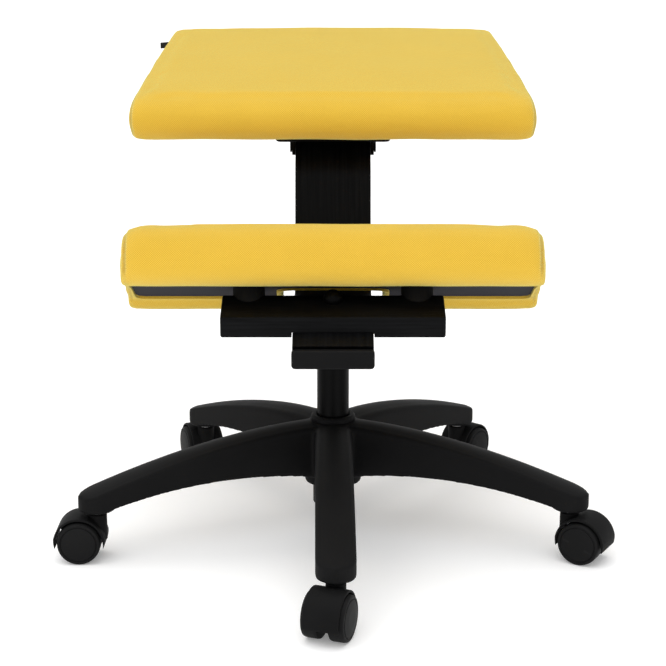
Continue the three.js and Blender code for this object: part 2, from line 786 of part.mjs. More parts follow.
function headBoltHoles() {
  return Object.values(SIDES).map((side) => {
    const hole = upright(BOLT_RADIUS + RUNNING_GAP, headBottom - CUT_OVERRUN,
      headBottom + headBoltReach + RUNNING_GAP, BOLT_SIDES);
    hole.translate(side * HEAD_BOLT_X, HEAD_BOLT_Y, 0);
    return hole;
  });
}

// A screw or bolt standing head down, its head's upper face at height zero
function screwShape(radius, headRadius, headHeight, reach) {
  return turned([
    [0, -headHeight],
    [headRadius, -headHeight],
    [headRadius, 0],
    [radius, 0],
    [radius, reach],
    [0, reach],
  ], BOLT_SIDES);
}

function columnHead() {
  const under = underBeam();
  const saddle = under.filter(([y]) => y > HEAD_FRONT && y < HEAD_REAR);
  const outline = [
    [HEAD_FRONT, headBottom],
    [HEAD_REAR, headBottom],
    [HEAD_REAR, heightOnPath(under, HEAD_REAR)],
    ...saddle.reverse(),
    [HEAD_FRONT, heightOnPath(under, HEAD_FRONT)],
  ];
  const socket = upright(SOCKET_RADIUS, headBottom - SOCKET_SKIRT, headBottom + CUT_OVERRUN, TUBE_SIDES);
  const bore = upright(INNER_TUBE_RADIUS + RUNNING_GAP, headBottom - SOCKET_SKIRT - CUT_OVERRUN,
    innerTubeTop + RUNNING_GAP, TUBE_SIDES);
  const halfRoom = LEVER_EYE_LENGTH / 2 + RUNNING_GAP;
  const inside = LEVER_X - LEVER_EYE_RADIUS - RUNNING_GAP;
  const leverRoom = block(
    [inside, LEVER_Y - halfRoom, leverHeight - LEVER_RADIUS - LEVER_ROOM],
    [HEAD_WIDTH / 2 + CUT_OVERRUN, LEVER_Y + halfRoom, leverHeight + LEVER_RADIUS + LEVER_ROOM],
  );
  const pinBore = leverPinShape(LEVER_PIN_RADIUS + RUNNING_GAP, LEVER_PIN_LENGTH + RUNNING_GAP);
  return cut(joined([slab(outline, HEAD_WIDTH), socket]),
    [bore, leverRoom, pinBore, ...headBoltHoles()]);
}

// Release lever with its pivot pin and grip
function leverPinShape(radius, length) {
  const pin = crossPin(radius, length, BOLT_SIDES);
  pin.rotateZ(radians(QUARTER_TURN));
  pin.translate(LEVER_X, LEVER_Y, leverHeight);
  return pin;
}

function leverPoints() {
  const sweep = lean(LEVER_SWEEP);
  const start = new THREE.Vector3(LEVER_X, LEVER_Y, leverHeight);
  const knee = start.clone().add(new THREE.Vector3(LEVER_STRAIGHT, 0, 0));
  const end = knee.clone().add(new THREE.Vector3(LEVER_ARM * sweep.c, LEVER_ARM * sweep.s, 0));
  return { start, knee, end };
}

function releaseLever() {
  const { start, knee, end } = leverPoints();
  const path = new THREE.CurvePath();
  const before = start.clone().lerp(knee, 0.5);
  const after = knee.clone().lerp(end, 0.15);
  path.add(new THREE.LineCurve3(start, before));
  path.add(new THREE.QuadraticBezierCurve3(before, knee, after));
  path.add(new THREE.LineCurve3(after, end));
  const section = shapeOf(arcPoints(0, 0, LEVER_RADIUS, 0, 360 - 360 / LEVER_SIDES,
    LEVER_SIDES - 1));
  const rod = new THREE.ExtrudeGeometry(section, { steps: 14, extrudePath: path });
  const eye = crossPin(LEVER_EYE_RADIUS, LEVER_EYE_LENGTH, BOLT_SIDES);
  eye.rotateZ(radians(QUARTER_TURN));
  eye.translate(LEVER_X, LEVER_Y, leverHeight);
  return cut(joined([rod, eye]),
    [leverPinShape(LEVER_PIN_RADIUS + RUNNING_GAP, LEVER_EYE_LENGTH + CUT_OVERRUN)]);
}

function leverGrip() {
  const { end } = leverPoints();
  const grip = turned([
    [LEVER_RADIUS + RUNNING_GAP, -GRIP_LENGTH],
    [GRIP_RADIUS - GRIP_END / 2, -GRIP_LENGTH],
    [GRIP_RADIUS, GRIP_END - GRIP_LENGTH],
    [GRIP_RADIUS, 0],
    [GRIP_RADIUS - GRIP_END, GRIP_END],
    [0, GRIP_END],
    [0, RUNNING_GAP],
    [LEVER_RADIUS + RUNNING_GAP, RUNNING_GAP],
  ], LEVER_SIDES);
  grip.rotateY(radians(QUARTER_TURN));
  grip.rotateZ(radians(LEVER_SWEEP));
  grip.translate(end.x, end.y, end.z);
  return grip;
}

// Knee carriage pieces, drawn in the ramp's frame about the clamp point
function crossbarOutline(grow) {
  const frontDrop = CROSSBAR_TOP + CROSSBAR_SKIRT;
  const frontBottom = -CROSSBAR_FRONT - frontDrop * Math.tan(radians(KNEE_ANGLE));
  return [
    [frontBottom - grow, -CROSSBAR_SKIRT - grow],
    [CROSSBAR_REAR + grow, -CROSSBAR_SKIRT - grow],
    [CROSSBAR_REAR + grow, CROSSBAR_REAR_TOP + grow],
    [CROSSBAR_RIDGE + grow / 2, CROSSBAR_TOP + grow],
    [-CROSSBAR_FRONT - grow / 2, CROSSBAR_TOP + grow],
  ];
}

function clampHole(radius, bottom, top) {
  return upright(radius, bottom, top, BOLT_SIDES);
}

function crossbar() {
  const bar = slab(crossbarOutline(0), CROSSBAR_WIDTH, CROSSBAR_EDGE);
  const half = BEAM_WIDTH / 2 + DADO_CLEARANCE;
  const dado = block(
    [-half, -CROSSBAR_WIDTH, -CROSSBAR_SKIRT - CUT_OVERRUN],
    [half, CROSSBAR_WIDTH, RUNNING_GAP],
  );
  const hole = clampHole(BOLT_RADIUS + RUNNING_GAP, -CUT_OVERRUN, CROSSBAR_TOP + CUT_OVERRUN);
  return cut(bar, [dado, hole]);
}

function clampBolt() {
  const under = RUNNING_GAP - BEAM_THICKNESS - KNOB_BORE_DEPTH;
  const rimBase = CROSSBAR_TOP + RUNNING_GAP;
  return turned([
    [0, under],
    [BOLT_RADIUS, under],
    [BOLT_RADIUS, rimBase],
    [DOME_RADIUS, rimBase],
    [DOME_RADIUS, rimBase + DOME_RIM],
    [DOME_RADIUS * 0.87, rimBase + DOME_HEIGHT * 0.62],
    [DOME_RADIUS * 0.5, rimBase + DOME_HEIGHT * 0.92],
    [0, rimBase + DOME_HEIGHT],
  ], TUBE_SIDES / 2);
}

function clampKnob() {
  const top = -BEAM_THICKNESS - RUNNING_GAP;
  const points = Array.from({ length: 4 * KNOB_LOBES }, (_, i) => {
    const angle = radians((360 * i) / (4 * KNOB_LOBES));
    const radius = KNOB_RADIUS - KNOB_LOBE_DEPTH * (0.5 - 0.5 * Math.cos(KNOB_LOBES * angle));
    return [radius * Math.cos(angle), radius * Math.sin(angle)];
  });
  const shoulder = top - KNOB_NECK_HEIGHT;
  const body = plate(points, shoulder - KNOB_HEIGHT, shoulder, KNOB_EDGE);
  const neck = upright(KNOB_NECK_RADIUS, shoulder - KNOB_EDGE, top, BOSS_SIDES);
  const hole = clampHole(BOLT_RADIUS + RUNNING_GAP, top - KNOB_BORE_DEPTH, top + CUT_OVERRUN);
  return cut(joined([body, neck]), [hole]);
}

function peg(side) {
  const tilt = lean(KNEE_TILT);
  const rear = [ridgePoint[0] + PEG_FROM_RIDGE, ridgePoint[1]];
  const ahead = rear[0] - kneeOrigin[0];
  const above = rear[1] - kneeOrigin[1];
  const height = ahead * tilt.s + above * tilt.c;
  const depth = ahead * tilt.c - above * tilt.s;
  const body = upright(PEG_RADIUS, height - PEG_RADIUS, -RUNNING_GAP, PEG_SIDES);
  body.translate(side * PEG_X, depth, 0);
  const shaped = place(body, kneeOrigin, -KNEE_TILT);
  const bar = slab(crossbarOutline(RUNNING_GAP), CROSSBAR_WIDTH);
  const below = block(
    [-CROSSBAR_WIDTH, -CROSSBAR_WIDTH, -CROSSBAR_WIDTH],
    [CROSSBAR_WIDTH, CROSSBAR_WIDTH, 0],
  );
  return cut(shaped, [bar, below].map((piece) => place(piece, clampPoint, KNEE_ANGLE)));
}

// Cushions: one side outline swept across the width, with rounded ends.
// Towards each side the outline draws in, so that edges and corners are round.
function cushionBody(outline, size) {
  const midDepth = (size.front + size.rear) / 2;
  const midHeight = (size.bottom + size.top) / 2;
  const halfDepth = (size.rear - size.front) / 2;
  const halfHeight = (size.top - size.bottom) / 2;
  const right = END_SHARES.map((share) => ({
    x: size.width / 2 - size.sideReach * (1 - share),
    inset: 1 - (1 - share ** CORNER_POWER) ** (1 / CORNER_POWER),
  }));
  const middle = { x: 0, inset: 0 };
  const flat = { x: (size.width / 2 - size.sideReach) * FLAT_SHARE, inset: 0 };
  const left = [...right.toReversed(), flat].map(({ x, inset }) => ({ x: -x, inset }));
  const stations = [...left, middle, flat, ...right];
  const rings = stations.toReversed().map(({ x, inset }) =>
    outline.map(([depth, height]) => {
      const drop = height > midHeight ? size.topRound : size.bottomRound;
      const planRound = depth > midDepth ? size.rearRound : size.frontRound;
      const depthScale = 1 - (planRound * inset) / halfDepth;
      const heightScale = 1 - (drop * inset) / halfHeight;
      const along = midDepth + (depth - midDepth) * depthScale;
      const up = midHeight + (height - midHeight) * heightScale;
      const taper = 1 - (size.taper * (along - size.front)) / (size.rear - size.front);
      const above = Math.max(0, (up - midHeight) / halfHeight);
      const outward = Math.abs((2 * x) / size.width);
      const lift = above * (size.crown * (1 - outward ** 2) - size.droop * outward ** 3);
      return [x * taper, along, up + lift];
    }));
  return loft(rings);
}

// Knee cushion outline: round front roll, hollow underside with a rear lip
function kneeOutline() {
  const rear = KNEE_LENGTH - KNEE_ROLL;
  const lipFront = rear - KNEE_LIP_WIDTH;
  const rearTop = KNEE_HEIGHT - KNEE_REAR_ROUND;
  return [
    ...arcPoints(0, KNEE_ROLL_CENTRE, KNEE_ROLL, 290, 90, 10),
    [rear / 2, KNEE_ROLL_CENTRE + KNEE_ROLL],
    ...arcPoints(rear - KNEE_REAR_ROUND, rearTop, KNEE_REAR_ROUND, 90, 0, 3),
    ...arcPoints(rear - KNEE_LIP_WIDTH / 3, KNEE_LIP_WIDTH / 3 - KNEE_REAR_LIP, KNEE_LIP_WIDTH / 3,
      0, -90, 3),
    [lipFront + KNEE_LIP_WIDTH / 3, -KNEE_REAR_LIP * 0.8],
    [lipFront, -KNEE_REAR_LIP / 4],
    [lipFront / 2, -KNEE_REAR_LIP / 4],
  ];
}

// A notch tool, open to the rear, with flared upper and lower edges
function notchTool(grow, bottom, top, front, flare) {
  const levels = [
    { height: bottom - CUT_OVERRUN, wide: flare * 1.6 },
    { height: bottom, wide: flare },
    { height: bottom + flare, wide: 0 },
    { height: top - flare, wide: 0 },
    { height: top, wide: flare },
    { height: top + CUT_OVERRUN, wide: flare * 1.6 },
  ];
  const rings = levels.map(({ height, wide }) => {
    const half = NOTCH_WIDTH / 2 + grow + wide;
    const near = front - grow - wide;
    const far = KNEE_LENGTH;
    const corner = NOTCH_CORNER + wide;
    return [
      ...arcPoints(corner - half, near + corner, corner, 180, 270, 3),
      ...arcPoints(half - corner, near + corner, corner, 270, 360, 3),
      [half, far],
      [-half, far],
    ].map(([x, depth]) => [x, depth, height]);
  });
  return loft(rings);
}

function kneeNotchFront() {
  return KNEE_LENGTH - KNEE_ROLL - NOTCH_DEPTH;
}

function kneeBoardOutline(grow) {
  const half = KNEE_WIDTH / 2 - KNEE_BORDER + grow;
  return roundedBox(-half, half, KNEE_BOARD_FRONT - grow, KNEE_BOARD_REAR + grow,
    KNEE_BOARD_CORNER, 2);
}

function kneeCushion() {
  const top = KNEE_ROLL_CENTRE + KNEE_ROLL;
  const body = cushionBody(kneeOutline(), {
    width: KNEE_WIDTH,
    front: -KNEE_ROLL,
    rear: KNEE_LENGTH - KNEE_ROLL,
    bottom: KNEE_ROLL_CENTRE - KNEE_ROLL,
    top,
    sideReach: KNEE_SIDE_REACH,
    topRound: KNEE_TOP_ROUND,
    bottomRound: KNEE_BOTTOM_ROUND,
    frontRound: KNEE_FRONT_ROUND,
    rearRound: KNEE_CORNER_ROUND,
    taper: 1 - KNEE_REAR_WIDTH / KNEE_WIDTH,
    crown: KNEE_CROWN,
    droop: KNEE_DROOP,
  });
  const notch = notchTool(0, -KNEE_REAR_LIP, top, kneeNotchFront(), NOTCH_FLARE);
  const recess = kneeBoardShape(RUNNING_GAP, -KNEE_REAR_LIP - CUT_OVERRUN);
  return cut(body, [notch, recess]);
}

function kneeBoardShape(grow, bottom) {
  const top = KNEE_BOARD_THICKNESS + grow;
  const board = plate(kneeBoardOutline(grow), bottom, top);
  const notch = notchTool(BOARD_NOTCH_BORDER - grow, bottom - CUT_OVERRUN, top + CUT_OVERRUN,
    kneeNotchFront(), 0);
  return cut(board, [notch]);
}

// Seat cushion outline: round front, flat underside, softly crowned top
function seatOutline() {
  const half = SEAT_HEIGHT / 2;
  const rear = SEAT_LENGTH - half;
  const round = SEAT_REAR_ROUND;
  const top = SEAT_HEIGHT + SEAT_RISE;
  return [
    ...arcPoints(0, half, half, 270, 90, 8),
    [rear * 0.3, SEAT_HEIGHT + SEAT_RISE * 0.7],
    [rear * 0.65, top],
    ...arcPoints(rear - round, top - round, round, 90, 0, 3),
    ...arcPoints(rear - round, round, round, 0, -90, 3),
    [rear * 0.5, 0],
  ];
}

function seatBoardOutline(grow) {
  const half = SEAT_REAR_WIDTH / 2 - SEAT_BOARD_BORDER + grow;
  const rear = SEAT_LENGTH - SEAT_HEIGHT / 2 - SEAT_BOARD_BORDER + grow;
  const front = PLATE_FRONT - grow;
  return roundedBox(-half, half, front, rear, SEAT_BOARD_CORNER);
}

function seatTagBox(grow) {
  const half = SEAT_HEIGHT / 2;
  const depth = SEAT_LENGTH - half - TAG_FROM_REAR;
  const share = (depth + half) / SEAT_LENGTH;
  const side = -(SEAT_WIDTH + (SEAT_REAR_WIDTH - SEAT_WIDTH) * share) / 2;
  return block(
    [side - TAG_SIZE + TAG_SEWN_IN - grow, depth - TAG_THICKNESS / 2 - grow,
      TAG_HEIGHT_ON_SIDE - grow],
    [side + 2 * TAG_SEWN_IN + grow, depth + TAG_THICKNESS / 2 + grow,
      TAG_HEIGHT_ON_SIDE + TAG_SIZE + grow],
  );
}

function seatCushion() {
  const half = SEAT_HEIGHT / 2;
  const body = cushionBody(seatOutline(), {
    width: SEAT_WIDTH,
    front: -half,
    rear: SEAT_LENGTH - half,
    bottom: 0,
    top: SEAT_HEIGHT + SEAT_RISE,
    sideReach: SEAT_SIDE_REACH,
    topRound: SEAT_TOP_ROUND,
    bottomRound: SEAT_BOTTOM_ROUND,
    frontRound: SEAT_PLAN_ROUND,
    rearRound: SEAT_PLAN_ROUND,
    taper: 1 - SEAT_REAR_WIDTH / SEAT_WIDTH,
    crown: SEAT_CROWN,
    droop: SEAT_DROOP,
  });
  const recess = plate(seatBoardOutline(RUNNING_GAP), -CUT_OVERRUN,
    SEAT_BOARD_THICKNESS - SEAT_BOARD_PROUD + RUNNING_GAP);
  return cut(body, [recess, seatTagBox(RUNNING_GAP)]);
}

// Seat bracket in the seat leg's frame: origin at the bend corner, height above the beam
function bracket() {
  const half = PLATE_WIDTH / 2;
  const front = PLATE_FRONT - SEAT_SETBACK;
  const top = plate(roundedBox(-half, half, front, front + PLATE_LENGTH, FLANGE_CORNER),
    RUNNING_GAP, PLATE_THICKNESS, PLATE_EDGE);
  const inside = BEAM_WIDTH / 2 + RUNNING_GAP;
  const flangeFront = front + FLANGE_INSET;
  const side = roundedBox(flangeFront, flangeFront + FLANGE_LENGTH, -FLANGE_DEPTH,
    PLATE_THICKNESS - PLATE_EDGE, FLANGE_CORNER, 2);
  const flanges = [-1, 1].map((sign) => {
    const flange = slab(side, FLANGE_THICKNESS);
    flange.translate(sign * (inside + FLANGE_THICKNESS / 2), 0, 0);
    return flange;
  });
  const holes = [...crossBoltHoles(PLATE_WIDTH), ...seatScrewHoles()];
  return cut(joined([top, ...flanges]), holes);
}

function crossBoltPlaces() {
  const front = PLATE_FRONT - SEAT_SETBACK + FLANGE_INSET + CROSS_BOLT_INSET;
  return { front, rear: front + CROSS_BOLT_SPACING };
}

function crossBoltHoles(length) {
  return Object.values(crossBoltPlaces()).map((along) => {
    const hole = crossPin(BOLT_RADIUS + RUNNING_GAP, length, BOLT_SIDES);
    hole.translate(0, along, -CROSS_BOLT_DROP);
    return hole;
  });
}

function crossBolt() {
  const seat = BEAM_WIDTH / 2 + FLANGE_THICKNESS + 2 * RUNNING_GAP;
  const ends = seat + CROSS_HEAD_HEIGHT;
  const bolt = turned([
    [0, -ends],
    [BOLT_HEAD_RADIUS, -ends],
    [BOLT_HEAD_RADIUS, -seat],
    [BOLT_RADIUS, -seat],
    [BOLT_RADIUS, seat],
    [BOLT_HEAD_RADIUS, seat],
    [BOLT_HEAD_RADIUS, ends],
    [0, ends],
  ], BOLT_SIDES);
  bolt.rotateY(radians(QUARTER_TURN));
  return bolt;
}

function seatScrewPlaces() {
  const x = PLATE_WIDTH / 2 - SEAT_SCREW_BORDER;
  const front = PLATE_FRONT - SEAT_SETBACK + SEAT_SCREW_SETBACK;
  const rear = PLATE_FRONT - SEAT_SETBACK + PLATE_LENGTH - SEAT_SCREW_BORDER;
  return {
    front_left: [-x, front],
    front_right: [x, front],
    rear_left: [-x, rear],
    rear_right: [x, rear],
  };
}

function seatScrewHoles() {
  return Object.values(seatScrewPlaces()).map(([x, along]) => {
    const hole = upright(SEAT_SCREW_RADIUS + RUNNING_GAP, -CUT_OVERRUN,
      SEAT_SCREW_REACH + RUNNING_GAP, BOLT_SIDES);
    hole.translate(x, along, 0);
    return hole;
  });
}

function seatBoard() {
  const board = plate(seatBoardOutline(0), -SEAT_BOARD_PROUD + RUNNING_GAP,
    SEAT_BOARD_THICKNESS - SEAT_BOARD_PROUD);
  const shift = [-SEAT_SETBACK, PLATE_THICKNESS + SEAT_BOARD_PROUD];
  const holes = seatScrewHoles();
  holes.forEach((hole) => hole.translate(0, -shift[0], -shift[1]));
  return cut(board, holes);
}

// Assembly
addPiece(chair, "star_base", starBase(), BLACK_NYLON);
addPiece(chair, "lift_outer_tube", outerTube(), BLACK_STEEL);
addPiece(chair, "lift_collar", collar(), BLACK_NYLON);
addPiece(
  chair,
  "lift_retaining_clip",
  upright(CLIP_RADIUS, OUTER_TUBE_BOTTOM - RUNNING_GAP - CLIP_THICKNESS,
    OUTER_TUBE_BOTTOM - RUNNING_GAP, BOLT_SIDES),
  BRIGHT_STEEL,
);
addPiece(
  chair,
  "lift_inner_tube",
  upright(INNER_TUBE_RADIUS, INNER_TUBE_BOTTOM, innerTubeTop, TUBE_SIDES),
  BLACK_STEEL,
);
addCastors();
addPiece(chair, "column_head", columnHead(), BLACK_STEEL);
for (const [name, side] of Object.entries(SIDES)) {
  const bolt = screwShape(BOLT_RADIUS, BOLT_HEAD_RADIUS, BOLT_HEAD_HEIGHT, headBoltReach);
  const piece = addPiece(chair, `column_head_bolt_${name}`, bolt, BRIGHT_STEEL);
  piece.position.set(side * HEAD_BOLT_X, HEAD_BOLT_Y, headBottom - RUNNING_GAP);
}
addPiece(chair, "laminated_beam", beam(), BLACK_WOOD);
addPiece(chair, "beam_end_cap", beamCap(), BLACK_NYLON);
addPiece(chair, "release_lever", releaseLever(), BLACK_STEEL);
addPiece(chair, "release_lever_pin", leverPinShape(LEVER_PIN_RADIUS, LEVER_PIN_LENGTH),
  BRIGHT_STEEL);
addPiece(chair, "release_lever_grip", leverGrip(), BLACK_NYLON);

const seatLeg = tiltedGroup(chair, seatBend, SEAT_ANGLE);
addPiece(seatLeg, "seat_bracket", bracket(), BLACK_STEEL);
for (const [name, along] of Object.entries(crossBoltPlaces())) {
  const bolt = addPiece(seatLeg, `seat_bracket_bolt_${name}`, crossBolt(), BLACK_STEEL);
  bolt.position.set(0, along, -CROSS_BOLT_DROP);
}
for (const [name, [x, along]] of Object.entries(seatScrewPlaces())) {
  const screw = screwShape(SEAT_SCREW_RADIUS, SEAT_SCREW_HEAD, SEAT_SCREW_HEAD_HEIGHT,
    SEAT_SCREW_REACH);
  const piece = addPiece(seatLeg, `seat_screw_${name}`, screw, BRIGHT_STEEL);
  piece.position.set(x, along, -RUNNING_GAP);
}
const seat = tiltedGroup(chair, seatOrigin, SEAT_ANGLE);
addPiece(seat, "seat_board", seatBoard(), CHARCOAL_BOARD);
addPiece(seat, "seat_cushion", seatCushion(), FABRIC);
addPiece(seat, "seat_side_tag", seatTagBox(0), BLACK_LABEL);

const carriage = tiltedGroup(chair, clampPoint, KNEE_ANGLE);
addPiece(carriage, "knee_crossbar", crossbar(), BLACK_WOOD);
addPiece(carriage, "knee_clamp_bolt", clampBolt(), BLACK_STEEL);
addPiece(carriage, "knee_clamp_knob", clampKnob(), BLACK_NYLON);
for (const [name, side] of Object.entries(SIDES)) {
  addPiece(chair, `knee_peg_${name}`, peg(side), BLACK_NYLON);
}
const kneeRest = tiltedGroup(chair, kneeOrigin, -KNEE_TILT);
addPiece(kneeRest, "knee_board", kneeBoardShape(0, 0), CHARCOAL_BOARD);
addPiece(kneeRest, "knee_cushion", kneeCushion(), FABRIC);

export default chair;
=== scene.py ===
import json
import math

import bmesh
import bpy
import numpy as np
from mathutils import Matrix, Vector, noise


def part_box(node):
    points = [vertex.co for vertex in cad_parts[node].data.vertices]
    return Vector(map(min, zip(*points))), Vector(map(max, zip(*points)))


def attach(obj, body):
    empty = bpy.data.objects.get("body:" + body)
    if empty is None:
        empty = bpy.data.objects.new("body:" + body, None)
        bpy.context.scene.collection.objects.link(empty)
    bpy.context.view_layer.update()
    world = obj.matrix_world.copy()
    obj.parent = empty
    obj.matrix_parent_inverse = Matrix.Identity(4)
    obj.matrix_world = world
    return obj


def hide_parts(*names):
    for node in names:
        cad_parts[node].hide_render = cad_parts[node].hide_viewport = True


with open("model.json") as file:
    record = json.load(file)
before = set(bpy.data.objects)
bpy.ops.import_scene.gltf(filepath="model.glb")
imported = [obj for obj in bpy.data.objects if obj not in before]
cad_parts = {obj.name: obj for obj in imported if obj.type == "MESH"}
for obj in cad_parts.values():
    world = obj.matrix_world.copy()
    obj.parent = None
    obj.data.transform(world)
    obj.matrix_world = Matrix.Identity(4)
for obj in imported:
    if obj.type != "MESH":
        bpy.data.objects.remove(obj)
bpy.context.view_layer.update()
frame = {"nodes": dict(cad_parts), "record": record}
nodes = frame["nodes"]
record = frame["record"]
BODY = {n: b for b, names in record["behaviour"]["bodies"].items() for n in names}
SLOT = {part["node"]: part["material_slot"] for part in record["subparts"]}
MM = 0.001
scene = bpy.context.scene

# Camera: fitted to the photograph
PHOTO_PIXELS, FOCAL_PIXELS, SENSOR = 666, 1629, 36
CAMERA_AT, CAMERA_TURN = (0, -1.862, 0.742), 75.1
camera_data = bpy.data.cameras.new("camera")
camera_data.sensor_width = SENSOR
camera_data.lens = FOCAL_PIXELS / PHOTO_PIXELS * SENSOR
camera = bpy.data.objects.new("camera", camera_data)
camera.location = CAMERA_AT
camera.rotation_euler = (math.radians(CAMERA_TURN), 0, 0)
scene.collection.objects.link(camera)
scene.camera = camera
scene.view_settings.view_transform = "Standard"


# Node building
class Tree:
    """Short calls for the nodes of one material or of the world."""

    def __init__(self, owner):
        owner.use_nodes = True
        self.nodes = owner.node_tree.nodes
        self.links = owner.node_tree.links
        self.nodes.clear()

    def add(self, kind, **settings):
        node = self.nodes.new(kind)
        for key, value in settings.items():
            setattr(node, key, value)
        return node

    def put(self, socket, value):
        if isinstance(value, bpy.types.NodeSocket):
            self.links.new(value, socket)
        elif value is not None:
            socket.default_value = value

    def math(self, operation, a, b=None, c=None):
        node = self.add("ShaderNodeMath", operation=operation)
        for socket, value in zip(node.inputs, (a, b, c)):
            self.put(socket, value)
        return node.outputs[0]

    def plus(self, a, b):
        return self.math("ADD", a, b)

    def minus(self, a, b):
        return self.math("SUBTRACT", a, b)

    def times(self, a, b):
        return self.math("MULTIPLY", a, b)

    def scaled(self, value, factor, offset):
        return self.math("MULTIPLY_ADD", value, factor, offset)

    def size_of(self, value):
        return self.math("ABSOLUTE", value)

    def ramp(self, value, low, high):
        """Smoothly from 0 at low to 1 at high."""
        node = self.add("ShaderNodeMapRange", interpolation_type="SMOOTHSTEP")
        for socket, number in zip(node.inputs, (value, low, high)):
            self.put(socket, number)
        return node.outputs[0]

    def mix(self, share, a, b):
        node = self.add("ShaderNodeMix", data_type="RGBA")
        self.put(node.inputs[0], share)
        self.put(node.inputs[6], a)
        self.put(node.inputs[7], b)
        return node.outputs[2]

    def blend(self, share, a, b):
        node = self.add("ShaderNodeMix", data_type="FLOAT")
        self.put(node.inputs[0], share)
        self.put(node.inputs[2], a)
        self.put(node.inputs[3], b)
        return node.outputs[0]

    def noise(self, vector, scale, detail=2.0, roughness=0.5):
        node = self.add("ShaderNodeTexNoise")
        self.put(node.inputs["Vector"], vector)
        node.inputs["Scale"].default_value = scale
        node.inputs["Detail"].default_value = detail
        node.inputs["Roughness"].default_value = roughness
        return node.outputs[0]

    def vector(self, x, y, z):
        node = self.add("ShaderNodeCombineXYZ")
        for socket, value in zip(node.inputs, (x, y, z)):
            self.put(socket, value)
        return node.outputs[0]

    def split(self, vector):
        node = self.add("ShaderNodeSeparateXYZ")
        self.put(node.inputs[0], vector)
        return node.outputs

    def object_mm(self):
        """Object coordinates in millimetres."""
        coordinates = self.add("ShaderNodeTexCoord").outputs["Object"]
        node = self.add("ShaderNodeVectorMath", operation="SCALE")
        self.put(node.inputs[0], coordinates)
        node.inputs["Scale"].default_value = 1000
        return node.outputs[0]

    def attribute(self, name):
        return self.add("ShaderNodeAttribute", attribute_name=name).outputs["Vector"]

    def bump(self, height, distance_mm, strength):
        node = self.add("ShaderNodeBump")
        node.inputs["Strength"].default_value = strength
        node.inputs["Distance"].default_value = distance_mm * MM
        self.put(node.inputs["Height"], height)
        return node.outputs[0]

    def seen(self):
        """1 for the rays that look at something, directly or in a surface, and 0 for those that light it."""
        path = self.add("ShaderNodeLightPath")
        reflected = self.math("MAXIMUM", path.outputs["Is Glossy Ray"], path.outputs["Is Transmission Ray"])
        return self.math("MAXIMUM", path.outputs["Is Camera Ray"], reflected)

    def output(self, shader, kind="ShaderNodeOutputMaterial"):
        self.links.new(shader.outputs[0], self.add(kind).inputs[0])

    def finish(self, colour, roughness, normal, **sockets):
        shader = self.add("ShaderNodeBsdfPrincipled")
        self.put(shader.inputs["Base Color"], colour)
        self.put(shader.inputs["Roughness"], roughness)
        self.put(shader.inputs["Normal"], normal)
        for name, value in sockets.items():
            shader.inputs[name.replace("_", " ")].default_value = value
        self.output(shader)


def material(name):
    made = bpy.data.materials.new(name)
    return made, Tree(made)


def grey(value):
    return (value, value, value * 1.03, 1)


# Materials. Lengths are in millimetres
YARN_PITCH = 1.28
WEFT = (0.87, 0.555, 0.06, 1), (0.93, 0.61, 0.074, 1)
WARP = (0.66, 0.38, 0.028, 1), (0.72, 0.425, 0.04, 1)
# Painted shade: the colour given to the hollows between the yarns, where the weave lies low
SHADE_BETWEEN_YARNS = (0.56, 0.27, 0.012, 1)
SEAM_SHADE = (0.42, 0.2, 0.015, 1)
STITCH_FROM_SEAM, STITCH_PITCH, STITCH_THREAD = 2.6, 4.5, (0.93, 0.62, 0.1, 1)
VENEER, STAIN = 1.6, ((0.0005, 0.0006, 0.0008, 1), (0.0042, 0.0045, 0.005, 1))


